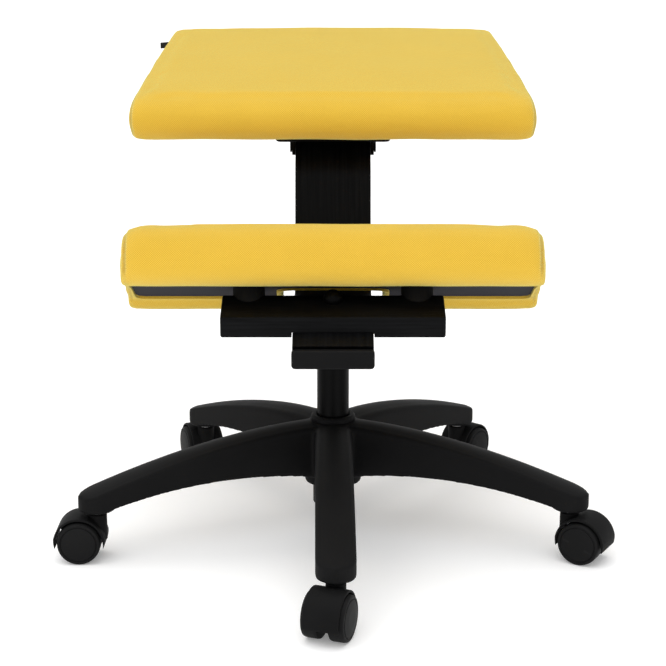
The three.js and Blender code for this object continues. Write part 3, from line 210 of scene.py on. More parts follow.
def woven_cover():
    """Plain weave in thick yellow yarn, with painted shade in the hollows between the yarns, drawn in the
    coordinates that the cushions carry.
    """
    made, t = material("cover_fabric")
    u, v, _ = t.split(t.attribute("cloth_coord"))
    wobble = t.noise(t.attribute("cloth_coord"), 0.03, 2)
    across = t.plus(t.math("DIVIDE", u, YARN_PITCH), t.times(wobble, 1.2))
    along = t.plus(t.math("DIVIDE", v, YARN_PITCH), t.times(wobble, 1.0))
    fu = t.minus(t.math("FRACT", across), 0.5)
    fv = t.minus(t.math("FRACT", along), 0.5)
    cells = t.plus(t.math("FLOOR", across), t.math("FLOOR", along))
    parity = t.size_of(t.math("MODULO", cells, 2.0))

    def thread(side, length):
        """Height of a yarn that is round across and dips at both ends."""
        ring = t.minus(1.0, t.math("POWER", t.size_of(t.times(side, 2.0)), 2.0))
        arch = t.math("COSINE", t.times(length, math.pi))
        return t.times(t.math("SQRT", t.math("MAXIMUM", ring, 0.0)), t.scaled(arch, 0.5, 0.5))

    height = t.blend(parity, thread(fu, fv), thread(fv, fu))
    fuzz = t.noise(t.vector(t.times(u, 5.0), t.times(v, 5.0), 0.0), 1.0, 3, 0.6)
    patch = t.noise(t.attribute("cloth_coord"), 0.012, 3, 0.55)
    yarn = t.mix(parity, t.mix(patch, *WEFT), t.mix(patch, *WARP))
    # Painted shade: where the weave lies low, between the yarns, the yarn colour turns to a darker, deeper
    # orange
    deep = t.mix(0.7, yarn, SHADE_BETWEEN_YARNS)
    level = t.scaled(height, 0.85, t.times(fuzz, 0.15))
    colour = t.mix(t.ramp(level, 0.02, 0.4), deep, yarn)
    away, run, groove = t.split(t.attribute("seam_coord"))
    colour = t.mix(t.times(groove, 0.5), colour, SEAM_SHADE)
    beside = t.ramp(t.size_of(t.minus(t.size_of(away), STITCH_FROM_SEAM)), 0.6, 0.3)
    in_pitch = t.math("FRACT", t.math("DIVIDE", run, STITCH_PITCH))
    dash = t.ramp(t.size_of(t.minus(in_pitch, 0.5)), 0.4, 0.34)
    stitch = t.times(t.times(beside, dash), t.ramp(groove, 0.05, 0.15))
    colour = t.mix(stitch, colour, STITCH_THREAD)
    full = t.scaled(fuzz, 0.25, t.scaled(parity, -0.35, height))
    full = t.scaled(stitch, 1.2, full)
    rough = t.scaled(fuzz, 0.12, 0.8)
    t.finish(colour, rough, t.bump(full, 0.5, 0.6), Specular_IOR_Level=0.12, Sheen_Weight=0.62,
             Sheen_Roughness=0.45, Sheen_Tint=(0.72, 1.0, 0.5, 1))
    return made


def stained_wood():
    """Black stained veneer, drawn in the wooden pieces' own coordinates: across, along and depth."""
    made, t = material("black_wood")
    x, s, d = t.split(t.attribute("grain_coord"))
    grain = t.noise(t.vector(t.times(x, 0.3), t.times(s, 0.012), t.times(d, 0.3)), 1.0, 4, 0.62)
    pores_at = t.vector(t.times(x, 2.2), t.times(s, 0.045), t.times(d, 1.4))
    pores = t.ramp(t.noise(pores_at, 1.0, 2, 0.5), 0.56, 0.7)
    in_veneer = t.math("FRACT", t.math("DIVIDE", d, VENEER))
    glue = t.ramp(t.size_of(t.minus(in_veneer, 0.5)), 0.42, 0.5)
    colour = t.mix(t.ramp(grain, 0.3, 0.72), *STAIN)
    colour = t.mix(t.times(pores, 0.6), colour, grey(0.0016))
    rough = t.scaled(grain, 0.2, 0.3)
    height = t.minus(t.times(grain, 0.5), t.times(pores, 0.6))
    height = t.minus(height, t.times(glue, 0.25))
    t.finish(colour, rough, t.bump(height, 0.14, 0.5), Specular_IOR_Level=0.06)
    return made


def moulded_nylon(name, low, high, rough_low, specular, grain_mm=0.8, depth=0.05):
    """Black moulded plastic with a fine grain and lighter worn edges."""
    made, t = material(name)
    place = t.object_mm()
    fine = t.noise(place, 1 / grain_mm, 2, 0.5)
    broad = t.noise(place, 0.025, 3, 0.55)
    edge = t.ramp(t.add("ShaderNodeNewGeometry").outputs["Pointiness"], 0.53, 0.62)
    colour = t.mix(broad, grey(low), grey(high))
    colour = t.mix(t.times(edge, 0.35), colour, grey(high * 2.2))
    rough = t.plus(t.scaled(broad, 0.12, rough_low), t.times(fine, 0.08))
    t.finish(colour, rough, t.bump(fine, depth, 0.6), Specular_IOR_Level=specular)
    return made


def painted_steel():
    """Black powder coat with a slight orange peel."""
    made, t = material("black_steel")
    place = t.object_mm()
    peel = t.noise(place, 0.55, 2, 0.45)
    broad = t.noise(place, 0.02, 3, 0.5)
    colour = t.mix(broad, grey(0.0008), grey(0.0016))
    rough = t.scaled(broad, 0.14, 0.34)
    t.finish(colour, rough, t.bump(peel, 0.05, 0.45), Specular_IOR_Level=0.045)
    return made


def plated_steel():
    """Bright screws and axles, brushed along Z."""
    made, t = material("bright_steel")
    place = t.object_mm()
    x, y, z = t.split(place)
    brushed = t.noise(t.vector(x, y, t.times(z, 9.0)), 0.8, 3, 0.6)
    stain = t.noise(place, 0.12, 2, 0.5)
    colour = t.mix(stain, (0.46, 0.46, 0.48, 1), (0.6, 0.6, 0.6, 1))
    rough = t.scaled(brushed, 0.2, 0.24)
    t.finish(colour, rough, t.bump(brushed, 0.02, 0.4), Metallic=1.0)
    return made


def panel_cloth():
    """Charcoal felt over the boards."""
    made, t = material("charcoal_panel")
    place = t.object_mm()
    fibre = t.noise(place, 1.6, 4, 0.7)
    broad = t.noise(place, 0.03, 2, 0.5)
    colour = t.mix(fibre, (0.02, 0.02, 0.0245, 1), (0.036, 0.036, 0.044, 1))
    colour = t.mix(t.times(broad, 0.4), colour, (0.024, 0.024, 0.029, 1))
    rough = t.scaled(fibre, 0.15, 0.78)
    t.finish(colour, rough, t.bump(fibre, 0.15, 0.5), Specular_IOR_Level=0.1, Sheen_Weight=0.02)
    return made


def label_cloth():
    """Black ribbed tape."""
    made, t = material("label_fabric")
    x, _, z = t.split(t.object_mm())
    ribs = t.math("SINE", t.times(z, 9.0))
    cross = t.math("SINE", t.times(x, 7.0))
    height = t.plus(ribs, t.times(cross, 0.6))
    colour = t.mix(t.scaled(ribs, 0.5, 0.5), grey(0.004), grey(0.012))
    rough = t.scaled(cross, 0.05, 0.75)
    t.finish(colour, rough, t.bump(height, 0.08, 0.5), Specular_IOR_Level=0.25)
    return made


LOOKS = {
    "cover_fabric": woven_cover(),
    "black_wood": stained_wood(),
    "charcoal_panel": panel_cloth(),
    "label_fabric": label_cloth(),
    "bright_steel": plated_steel(),
    "black_steel": painted_steel(),
    "black_nylon": moulded_nylon("black_nylon", low=0.0048, high=0.0076, rough_low=0.5, specular=0.05),
    "castor_tread": moulded_nylon("castor_tread", low=0.0056, high=0.0084, rough_low=0.44, specular=0.07,
                                  grain_mm=1.1, depth=0.03),
}


# Mesh helpers
def mesh_object(name, points, faces):
    mesh = bpy.data.meshes.new(name)
    mesh.from_pydata([tuple(p) for p in points], [], [tuple(f) for f in faces])
    mesh.update()
    made = bpy.data.objects.new(name, mesh)
    scene.collection.objects.link(made)
    return made


def shade(obj, angle=38):
    mesh = obj.data
    mesh.shade_smooth()
    mesh.set_sharp_from_angle(angle=math.radians(angle))
    return obj


def face_out(obj):
    """Faces turned outwards."""
    work = bmesh.new()
    work.from_mesh(obj.data)
    bmesh.ops.recalc_face_normals(work, faces=work.faces)
    work.to_mesh(obj.data)
    work.free()
    return obj


def loft(name, rings):
    """Closed body through rings of equal count, with flat ends."""
    count = len(rings[0])
    points = [p for ring in rings for p in ring]
    faces = []
    for r in range(len(rings) - 1):
        for i in range(count):
            j = (i + 1) % count
            faces.append((r * count + i, r * count + j, (r + 1) * count + j, (r + 1) * count + i))
    faces.append(range(count - 1, -1, -1))
    last = (len(rings) - 1) * count
    faces.append(range(last, last + count))
    return face_out(mesh_object(name, points, faces))


def lathe(name, profile, sides=64):
    """A closed (radius, height) profile turned about Z, in millimetres."""
    points, faces = [], []
    where = []
    for radius, height in profile:
        if radius < 1e-6:
            where.append([len(points)] * sides)
            points.append((0, 0, height * MM))
        else:
            where.append(list(range(len(points), len(points) + sides)))
            for k in range(sides):
                angle = 2 * math.pi * k / sides
                points.append((radius * math.cos(angle) * MM, radius * math.sin(angle) * MM, height * MM))
    for i in range(len(profile)):
        a, b = where[i], where[(i + 1) % len(profile)]
        if a[0] == a[1 % sides] and b[0] == b[1 % sides]:
            continue
        for k in range(sides):
            n = (k + 1) % sides
            corners = list(dict.fromkeys((a[k], a[n], b[n], b[k])))
            if len(corners) > 2:
                faces.append(corners)
    return face_out(mesh_object(name, points, faces))


def arc(centre, radius, start, end, steps):
    a = np.radians(np.linspace(start, end, steps + 1))
    return [(centre[0] + radius * math.cos(x), centre[1] + radius * math.sin(x)) for x in a]


def rounded(profile, radii, steps=4):
    """An open or closed polyline of (radius, height) with its corners rounded; radii of 0 stay sharp."""
    out = []
    for i, (point, radius) in enumerate(zip(profile, radii)):
        if radius <= 0:
            out.append(point)
            continue
        p = Vector(point)
        before, after = Vector(profile[i - 1]) - p, Vector(profile[(i + 1) % len(profile)]) - p
        half = before.angle(after) / 2
        reach = min(radius / math.tan(half), before.length * 0.49, after.length * 0.49)
        a, b = p + before.normalized() * reach, p + after.normalized() * reach
        for k in range(steps + 1):
            s = k / steps
            q = a * (1 - s) ** 2 + p * 2 * s * (1 - s) + b * s ** 2
            out.append((q.x, q.y))
    return out


def bake_modifiers(obj):
    """The mesh as its modifiers make it, with none left."""
    graph = bpy.context.evaluated_depsgraph_get()
    made = bpy.data.meshes.new_from_object(obj.evaluated_get(graph), depsgraph=graph)
    old = obj.data
    obj.modifiers.clear()
    obj.data = made
    bpy.data.meshes.remove(old)
    return obj


def boolean(obj, tools, operation, solver="MANIFOLD"):
    for tool in tools:
        change = obj.modifiers.new("bool", "BOOLEAN")
        change.operation = operation
        change.solver = solver
        change.object = tool
    bake_modifiers(obj)
    for tool in tools:
        drop(tool)
    return obj


def drop(obj):
    mesh = obj.data
    bpy.data.objects.remove(obj)
    bpy.data.meshes.remove(mesh)


def merged(name, objects):
    """Several bodies in one mesh, not joined to each other."""
    work = bmesh.new()
    for obj in objects:
        work.from_mesh(obj.data)
        drop(obj)
    mesh = bpy.data.meshes.new(name)
    work.to_mesh(mesh)
    work.free()
    made = bpy.data.objects.new(name, mesh)
    scene.collection.objects.link(made)
    return made


def remesh(obj, size_mm):
    change = obj.modifiers.new("remesh", "REMESH")
    change.mode = "VOXEL"
    change.voxel_size = size_mm * MM
    return bake_modifiers(obj)


def coordinates(obj):
    co = np.empty(len(obj.data.vertices) * 3)
    obj.data.vertices.foreach_get("co", co)
    return co.reshape(-1, 3)


def set_coordinates(obj, co):
    obj.data.vertices.foreach_set("co", np.asarray(co, float).ravel())
    obj.data.update()


def normals(obj):
    n = np.empty(len(obj.data.vertices) * 3)
    obj.data.vertex_normals.foreach_get("vector", n)
    return n.reshape(-1, 3)


def smooth_points(obj, rounds, weight, keep=0.5):
    """Laplacian smoothing, weighted per point, with a step back out so that volume stays."""
    edges = np.empty(len(obj.data.edges) * 2, int)
    obj.data.edges.foreach_get("vertices", edges)
    edges = edges.reshape(-1, 2)
    co = coordinates(obj)
    count = np.bincount(edges.ravel(), minlength=len(co))[:, None]
    weight = np.broadcast_to(np.asarray(weight, float).reshape(-1, 1), (len(co), 1))

    def step(co, factor):
        total = np.zeros_like(co)
        for axis in range(3):
            total[:, axis] = (np.bincount(edges[:, 0], co[edges[:, 1], axis], len(co))
                              + np.bincount(edges[:, 1], co[edges[:, 0], axis], len(co)))
        return co + factor * weight * (total / np.maximum(count, 1) - co)

    for _ in range(rounds):
        co = step(co, 0.6)
        co = step(co, -0.6 * keep)
    set_coordinates(obj, co)
    return obj


def vector_attribute(obj, name, values):
    layer = obj.data.attributes.get(name) or obj.data.attributes.new(name, "FLOAT_VECTOR", "POINT")
    layer.data.foreach_set("vector", np.asarray(values, np.float32).ravel())


def stand_in(obj, name, *replaced):
    """obj takes the place of CAD nodes, with the first one's body and slot."""
    first = replaced[0]
    obj.name = name
    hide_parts(*replaced)
    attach(obj, BODY[first])
    obj.data.materials.clear()
    obj.data.materials.append(LOOKS[SLOT[first]])
    return obj


def tilt(obj, origin, angle):
    """From its own frame to the chair's: turned about X and moved to (y, z) in millimetres."""
    obj.data.transform(Matrix.Translation((0, origin[0] * MM, origin[1] * MM))
                       @ Matrix.Rotation(math.radians(angle), 4, "X"))
    return obj


def near_line(points, line, closed):
    """For each 2D point: length along the polyline to its nearest point, and the distance."""
    line = np.asarray(line, float)
    ends = np.roll(line, -1, 0) if closed else line[1:]
    starts = line if closed else line[:-1]
    step = ends - starts
    length = np.linalg.norm(step, axis=1)
    before = np.concatenate([[0], np.cumsum(length)[:-1]])
    best = np.full(len(points), np.inf)
    run = np.zeros(len(points))
    for a, d, l, b in zip(starts, step, length, before):
        if l < 1e-9:
            continue
        rel = points - a
        t = np.clip(rel @ d / (l * l), 0, 1)
        gap = rel - t[:, None] * d
        dist = np.hypot(gap[:, 0], gap[:, 1])
        closer = dist < best
        best[closer] = dist[closer]
        run[closer] = (b + t * l)[closer]
    return run, best


# Sizes, in millimetres, as in the CAD source
BEAM = dict(width=90, thickness=22, edge=1.8)
BEND_RADII = [80, 40, 55, 76]
KNEE_ANGLE, SEAT_ANGLE, STEM_ANGLE, NOSE_ANGLE = 17, 8, 76, 26
RAMP_LENGTH, NOSE_LENGTH, STEM_LENGTH, TAIL_LENGTH = 56.7, 20.5, 176.1, 168
FLAT_FRONT, FLAT_REAR, FLAT_HEIGHT = -67.8, 25.9, 294.3
CLAMP_DOWN, RIDGE_UP, CROSSBAR_THICKNESS = 11.4, 10.1, 17
PLATE, PROUD, BRACKET_BACK, FIRST_BOLT, BOLT_PITCH = 4.5, 7.8, 36.8, 28.3, 96


def along(point, length, angle):
    """From a point in (y, z), a length on in the direction of an angle in degrees."""
    a = math.radians(angle)
    return (point[0] + length * math.cos(a), point[1] + length * math.sin(a))


knee_break = (FLAT_FRONT, FLAT_HEIGHT)
nose_break = along(knee_break, -RAMP_LENGTH, KNEE_ANGLE)
beam_tip = along(nose_break, -NOSE_LENGTH, NOSE_ANGLE)
stem_foot = (FLAT_REAR, FLAT_HEIGHT)
seat_bend = along(stem_foot, STEM_LENGTH, STEM_ANGLE)
beam_end = along(seat_bend, TAIL_LENGTH, SEAT_ANGLE)
clamp_point = along(knee_break, -CLAMP_DOWN, KNEE_ANGLE)
seat_origin = along(along(seat_bend, -BRACKET_BACK, SEAT_ANGLE), PLATE + PROUD, SEAT_ANGLE + 90)
ridge = along(along(clamp_point, RIDGE_UP, KNEE_ANGLE), CROSSBAR_THICKNESS, KNEE_ANGLE + 90)
knee_origin = (ridge[0] - 20.7, ridge[1] + 27.4)


# Cushions: a fine version of the solids, swollen by a short cloth simulation
CORNER_POWER = 2.4
PRESSURE, SIM_FRAMES, PINNED = 5, 20, 0.02
SEAM_IN, SEAM_WIDTH, SEAM_DEPTH = 5, 2.1, 1.2
LIP_FROM_SEAM, LIP_WIDTH, LIP_HEIGHT = 4.2, 2.2, 0.25
WRINKLE_SIZE = 60
INSIDE_DEPTH, SIDE_SHIFT = 7, 40.0
KNEE = dict(width=469, front=-35, rear=135, bottom=-11, top=59, reach=30, top_round=12.5, bottom_round=2.5,
            front_round=18, rear_round=5, taper=1 - 486 / 469, crown=-1.3, droop=2.6)
KNEE_TILT = -26.5
BOARD_REACH = 230.5
SEAT = dict(width=476.5, front=-26, rear=342, bottom=0, top=58.5, reach=20, top_round=17, bottom_round=9,
            front_round=17, rear_round=15, taper=1 - 434.5 / 476.5, crown=3, droop=0)


def cushion(name, outline, size):
    """The outline carried across the width, with rounded ends, a taper, a crown and ends that droop."""
    mid_depth, half_depth = (size["front"] + size["rear"]) / 2, (size["rear"] - size["front"]) / 2
    mid_height, half_height = (size["bottom"] + size["top"]) / 2, (size["top"] - size["bottom"]) / 2
    half = size["width"] / 2
    shares = np.sin(np.radians(np.linspace(0, 90, 13)))
    ends = [(half - size["reach"] * (1 - s), 1 - (1 - s ** CORNER_POWER) ** (1 / CORNER_POWER))
            for s in shares]
    flat = np.linspace(0, half - size["reach"], 24)[:-1]
    right = [(x, 0) for x in flat] + ends
    stations = [(-x, i) for x, i in reversed(right[1:])] + right
    rings = []
    for x, inset in stations:
        ring = []
        for depth, height in outline:
            drop_by = size["top_round"] if height > mid_height else size["bottom_round"]
            plan = size["rear_round"] if depth > mid_depth else size["front_round"]
            y = mid_depth + (depth - mid_depth) * (1 - plan * inset / half_depth)
            z = mid_height + (height - mid_height) * (1 - drop_by * inset / half_height)
            taper = 1 - size["taper"] * (y - size["front"]) / (size["rear"] - size["front"])
            above = max(0, (z - mid_height) / half_height)
            u = min(1, abs(2 * x / size["width"]))
            z += size["crown"] * above * (1 - u ** 2) - size["droop"] * above * u ** 3
            ring.append((x * taper * MM, y * MM, z * MM))
        rings.append(ring)
    return loft(name, rings)


def half_width(size, depth):
    """Half the cushion's width at a depth."""
    return size["width"] / 2 * (1 - size["taper"] * (depth - size["front"]) / (size["rear"] - size["front"]))


def swell(obj, pin, cap_mm, shrink_mm):
    """Pressed out from inside as cloth over foam, about the start shape; pinned points stay."""
    start, out = coordinates(obj), normals(obj)
    weight = 1 - pin
    slim = start - out * (weight * shrink_mm * MM)[:, None]
    set_coordinates(obj, slim)
    group = obj.vertex_groups.new(name="pin")
    for index in np.nonzero(pin > PINNED)[0]:
        group.add([int(index)], float(pin[index]), "REPLACE")
    cloth = obj.modifiers.new("cloth", "CLOTH").settings
    cloth.use_pressure = True
    cloth.uniform_pressure_force = PRESSURE
    cloth.effector_weights.gravity = 0
    cloth.vertex_group_mass = "pin"
    cloth.quality = 5
    cloth.mass = 0.3
    cloth.bending_stiffness = 0.6
    for number in range(1, SIM_FRAMES + 1):
        scene.frame_set(number)
    graph = bpy.context.evaluated_depsgraph_get()
    moved = np.array([v.co for v in obj.evaluated_get(graph).data.vertices])
    obj.modifiers.clear()
    scene.frame_set(1)
    rise = ((moved - slim) * out).sum(1)
    rise -= np.median(rise[weight > 0.5])
    cap = cap_mm * MM
    set_coordinates(obj, start + out * (weight * cap * np.tanh(rise / cap))[:, None])


def finer(obj):
    change = obj.modifiers.new("subdivide", "SUBSURF")
    change.levels = 1
    change.render_levels = 1
    return bake_modifiers(obj)


def step_share(values, low, high):
    """Smoothly from 0 at low to 1 at high."""
    s = np.clip((values - low) / (high - low), 0, 1)
    return s * s * (3 - 2 * s)


def seam_place(co, outline, size):
    """Place along the outline, depth under it, distance from the side seam and how deep the seam lies."""
    run, under = near_line(co[:, 1:], outline, True)
    from_seam = np.abs(co[:, 0]) - (half_width(size, co[:, 1]) - SEAM_IN)
    low = min(z for _, z in outline)
    groove = np.exp(-(from_seam / SEAM_WIDTH) ** 2) * step_share(co[:, 2] - low, 5, 14)
    return run, under, from_seam, groove


def dress(obj, outline, size, wrinkle_mm):
    """Side seams and a soft unevenness, in the cushion's own frame."""
    co = coordinates(obj) / MM
    out = normals(obj)
    _, _, from_seam, groove = seam_place(co, outline, size)
    lip = np.exp(-((np.abs(from_seam) - LIP_FROM_SEAM) / LIP_WIDTH) ** 2)
    uneven = np.array([noise.noise(tuple(p / WRINKLE_SIZE)) for p in co])
    shift = wrinkle_mm * uneven - SEAM_DEPTH * groove + LIP_HEIGHT * lip
    set_coordinates(obj, (co + out * shift[:, None]) * MM)


def weave(obj, outline, size):
    """The weave's coordinates in millimetres, and where the seams are."""
    co = coordinates(obj) / MM
    out = np.abs(normals(obj))
    run, under, from_seam, groove = seam_place(co, outline, size)
    side, inside = from_seam > 0, under > INSIDE_DEPTH
    across = inside & (out[:, 0] > out[:, 1])
    u = np.where(side | across, co[:, 1], co[:, 0])
    v = np.where(side | inside, co[:, 2], run)
    vector_attribute(obj, "cloth_coord", np.stack([u, v, side * SIDE_SHIFT], 1))
    vector_attribute(obj, "seam_coord", np.stack([from_seam, run, groove], 1))


def knee_outline():
    rear, top, lip, low = KNEE["rear"], KNEE["top"], 28, 11
    return [
        *arc((0, 24), 35, 290, 90, 26),
        (rear / 4, top), (rear / 2, top), (rear * 0.7, top),
        *arc((rear - 16, 41), 16, 90, 0, 8),
        *arc((rear - lip / 3, lip / 3 - low), lip / 3, 0, -90, 6),
        (rear - lip * 2 / 3, -low * 0.8), (rear - lip, -low / 4), ((rear - lip) / 2, -low / 4),
    ]


def seat_outline():
    half, rear, lift, top = 26, SEAT["rear"], 6.5, SEAT["top"]
    roll = [(10 - 36 * math.cos(a), half + half * math.sin(a)) for a in np.radians(np.linspace(8, 90, 12))]
    return [
        *arc((0, half), half, 270, 180, 11), *roll,
        (rear * 0.15, 52 + lift * 0.42), (rear * 0.3, 52 + lift * 0.7), (rear * 0.48, 52 + lift * 0.92),
        (rear * 0.65, top), (rear * 0.82, top),
        *arc((rear - 14, top - 14), 14, 90, 0, 8),
        *arc((rear - 14, 14), 14, 0, -90, 8),
        (rear * 0.75, 0), (rear * 0.5, 0), (rear * 0.25, 0),
    ]


def notch_tool(name, grow, bottom, top, flare):
    """What the beam's notch takes away, open to the rear and flared at its upper and lower rims."""
    notch_half, notch_front, notch_corner, past_rear = 58.5, 68, 14, 170
    levels = [(bottom - 4, flare * 1.6), (bottom, flare), (bottom + flare * 0.3, flare * 0.4),
              (bottom + flare, 0), (top - flare, 0), (top - flare * 0.3, flare * 0.4), (top, flare),
              (top + 12, flare * 1.6)]
    rings = []
    for height, wide in levels:
        half, near, corner = notch_half + grow + wide, notch_front - grow - wide, notch_corner + wide
        ring = [*arc((corner - half, near + corner), corner, 180, 270, 8),
                *arc((half - corner, near + corner), corner, 270, 360, 8),
                (half, past_rear), (-half, past_rear)]
        rings.append([(x * MM, y * MM, height * MM) for x, y in ring])
    return loft(name, rings)


def prism(name, outline, bottom, top):
    return loft(name, [[(x * MM, y * MM, z * MM) for x, y in outline] for z in (bottom, top)])


def round_box(left, right, low, high, radius, steps=5):
    return [*arc((right - radius, low + radius), radius, -90, 0, steps),
            *arc((right - radius, high - radius), radius, 0, 90, steps),
            *arc((left + radius, high - radius), radius, 90, 180, steps),
            *arc((left + radius, low + radius), radius, 180, 270, steps)]


def board_recess(half, front, rear, corner, top):
    """Room for a board in a cushion's underside."""
    return prism("recess", round_box(-half, half, front, rear, corner), -16, top)


def upholster(body, outline, size, pin, wrinkle, swell_mm, shrink_mm):
    """Swollen by the simulation, then made finer, with its seams."""
    swell(body, pin, swell_mm, shrink_mm)
    smooth_points(body, 2, 1)
    finer(body)
    dress(body, outline, size, wrinkle)


def knee_cushion():
    body = cushion("knee_cushion_cover", knee_outline(), KNEE)
    boolean(body, [notch_tool("notch", grow=0, bottom=-11, top=57, flare=5)], "DIFFERENCE", "EXACT")
    remesh(body, 4)
    smooth_points(body, 3, 1)
    co = coordinates(body) / MM
    under = 1 - step_share(co[:, 2], 2, 12)
    front_roll = step_share(-co[:, 1], 0, 12)
    in_notch = (1 - step_share(np.abs(co[:, 0]), 68, 82)) * step_share(co[:, 1], 50, 60)
    pin = np.clip(np.maximum(under * (1 - front_roll * 0.5), in_notch), 0, 1)
    upholster(body, knee_outline(), KNEE, pin, wrinkle=0.5, swell_mm=1.2, shrink_mm=1.2)
    recess = board_recess(BOARD_REACH + 0.3, front=13.7, rear=102.3, corner=8, top=8.3)
    boolean(recess, [notch_tool("keep", grow=6.7, bottom=-30, top=40, flare=0)], "DIFFERENCE", "EXACT")
    boolean(body, [recess], "DIFFERENCE", "EXACT")
    weave(body, knee_outline(), KNEE)
    tilt(body, knee_origin, KNEE_TILT)
    shade(body, 50)
    stand_in(body, "knee_cushion_cover", "knee_cushion")


def seat_cushion():
    body = cushion("seat_cushion_cover", seat_outline(), SEAT)
    remesh(body, 4.5)
    smooth_points(body, 2, 1)
    pin = 1 - step_share(coordinates(body)[:, 2] / MM, 2, 10)
    upholster(body, seat_outline(), SEAT, pin, wrinkle=0.7, swell_mm=1.6, shrink_mm=1.4)
    recess = board_recess(167.8, front=28.0, rear=294.3, corner=30, top=4.5)
    boolean(body, [recess], "DIFFERENCE", "EXACT")
    weave(body, seat_outline(), SEAT)
    tilt(body, seat_origin, SEAT_ANGLE)
    shade(body, 50)
    stand_in(body, "seat_cushion_cover", "seat_cushion")


# Beam: bent along its path, with rounded long edges, a slot and bolt holes
def bent_path(corners, bends):
    """Points and headings along a polyline with a bend at each inner corner, 3 degrees or less apart."""
    vectors = [Vector(c) for c in corners]
    samples = [(vectors[0], (vectors[1] - vectors[0]).normalized())]
    for i in range(1, len(vectors) - 1):
        before = (vectors[i] - vectors[i - 1]).normalized()
        after = (vectors[i + 1] - vectors[i]).normalized()
        turn = math.atan2(before.x * after.y - before.y * after.x, before.dot(after))
        radius = bends[i - 1]
        start = vectors[i] - before * (radius * math.tan(abs(turn) / 2))
        side = Vector((-before.y, before.x)) * math.copysign(1, turn)
        centre = start + side * radius
        steps = max(3, math.ceil(abs(math.degrees(turn)) / 3))
        for k in range(steps + 1):
            a = turn * k / steps
            heading = Vector((before.x * math.cos(a) - before.y * math.sin(a),
                              before.x * math.sin(a) + before.y * math.cos(a)))
            outward = Vector((heading.y, -heading.x)) * math.copysign(1, turn)
            samples.append((centre + outward * radius, heading))
    samples.append((vectors[-1], (vectors[-1] - vectors[-2]).normalized()))
    return samples


def bolt_hole(radius, length, y, z):
    """A round bar along X."""
    tool = lathe("pin", [(0, -length / 2), (radius, -length / 2), (radius, length / 2), (0, length / 2)], 24)
    tool.data.transform(Matrix.Translation((0, y * MM, z * MM)) @ Matrix.Rotation(math.pi / 2, 4, "Y"))
    return tool


def beam():
    half, thick = BEAM["width"] / 2, BEAM["thickness"]
    path = bent_path([beam_tip, nose_break, knee_break, stem_foot, seat_bend, beam_end], BEND_RADII)
    section = rounded([(-half, 0), (half, 0), (half, thick), (-half, thick)], [BEAM["edge"]] * 4, 3)
    rings = []
    for point, heading in path:
        down = Vector((heading.y, -heading.x))
        rings.append([(x * MM, (point.x + down.x * d) * MM, (point.y + down.y * d) * MM) for x, d in section])
    body = loft("laminated_beam_wood", rings)
    slot = prism("slot", [*arc((0, 1.5), 4.5, 0, 180, 10), *arc((0, -28), 4.5, 180, 360, 10)], -30, 6)
    tilt(slot, clamp_point, KNEE_ANGLE)
    holes = [slot]
    first = FIRST_BOLT - BRACKET_BACK + 26 + 8
    for run in (first, first + BOLT_PITCH):
        y, z = along(along(seat_bend, run, SEAT_ANGLE), -15, SEAT_ANGLE + 90)
        holes.append(bolt_hole(4.3, 100, y, z))
    boolean(body, holes, "DIFFERENCE", "EXACT")
    co = coordinates(body) / MM
    run, depth = near_line(co[:, 1:], [(p.x, p.y) for p, _ in path], False)
    vector_attribute(body, "grain_coord", np.stack([co[:, 0], run, depth], 1))
    shade(body, 32)
    stand_in(body, "laminated_beam_wood", "laminated_beam")


# Base: arms, hub and bosses grown together, hollow underneath
ARM_ROOT, PIVOT, ARM_END, BOSS_RADIUS = 22, 288, 309.5, 21.7
HUB_TOP, BORE, CASTOR_STEM = 140.6, 24.3, 5.8
CHANNEL_START, CHANNEL_END, RIB_START, RIB_END, RIB_HALF = 44, 262, 40, 266, 1.3


def arm_angle(arm):
    """The direction of one of the five arms, in radians; the first points to the front."""
    return math.radians(0.6 - 90 + 72 * arm)


def arm_share(radius):
    """0 at the arm's root and 1 at the castor's pivot."""
    return (radius - ARM_ROOT) / (PIVOT - ARM_ROOT)


def arm_top(share):
    return 141 - 54.5 * share ** 1.7


def arm_bottom(share):
    rest = 1 - share
    return rest * rest * 74.5 + 2 * share * rest * 99.5 + share * share * 60


def arm_rings(start, end, ring_at, steps=30):
    rings = []
    for radius in np.linspace(start, end, steps + 1):
        share = arm_share(radius)
        rings.append(ring_at(radius, (49 - 5.6 * share) / 2, share))
    return rings


def arm_ring(radius, half, share):
    """Past the pivot the arm goes on over the boss and rounds off in plan."""
    past = max(0, radius - PIVOT)
    half = min(half, math.sqrt(max(0, BOSS_RADIUS ** 2 - past ** 2)))
    top, bottom = arm_top(share), arm_bottom(min(1, share))
    crown, shoulder = 2.6 * half / BOSS_RADIUS, min(8 - 5.4 * min(1, share) ** 1.4, half * 0.37)
    right = arc((half - shoulder, top - crown - shoulder), shoulder, 0, 90, 6)
    crest = [(half - shoulder) * s for s in (0.66, 0.33)]
    side = [(half, bottom), *right, *[(x, top - crown * (x / (half - shoulder)) ** 2) for x in crest]]
    ring = [*side, (0, top), *[(-x, z) for x, z in reversed(side)]]
    return [(radius * MM, y * MM, z * MM) for y, z in ring]


def box_ring(radius, half, bottom, top):
    corners = ((half, bottom), (half, top), (-half, top), (-half, bottom))
    return [(radius * MM, y * MM, z * MM) for y, z in corners]


def channel_ring(radius, half, share):
    return box_ring(radius, half - 4, arm_bottom(share) - 8, arm_top(share) - 10.7)


def rib_ring(radius, _, share):
    return box_ring(radius, RIB_HALF, arm_bottom(share) + 7, arm_top(share) - 8)


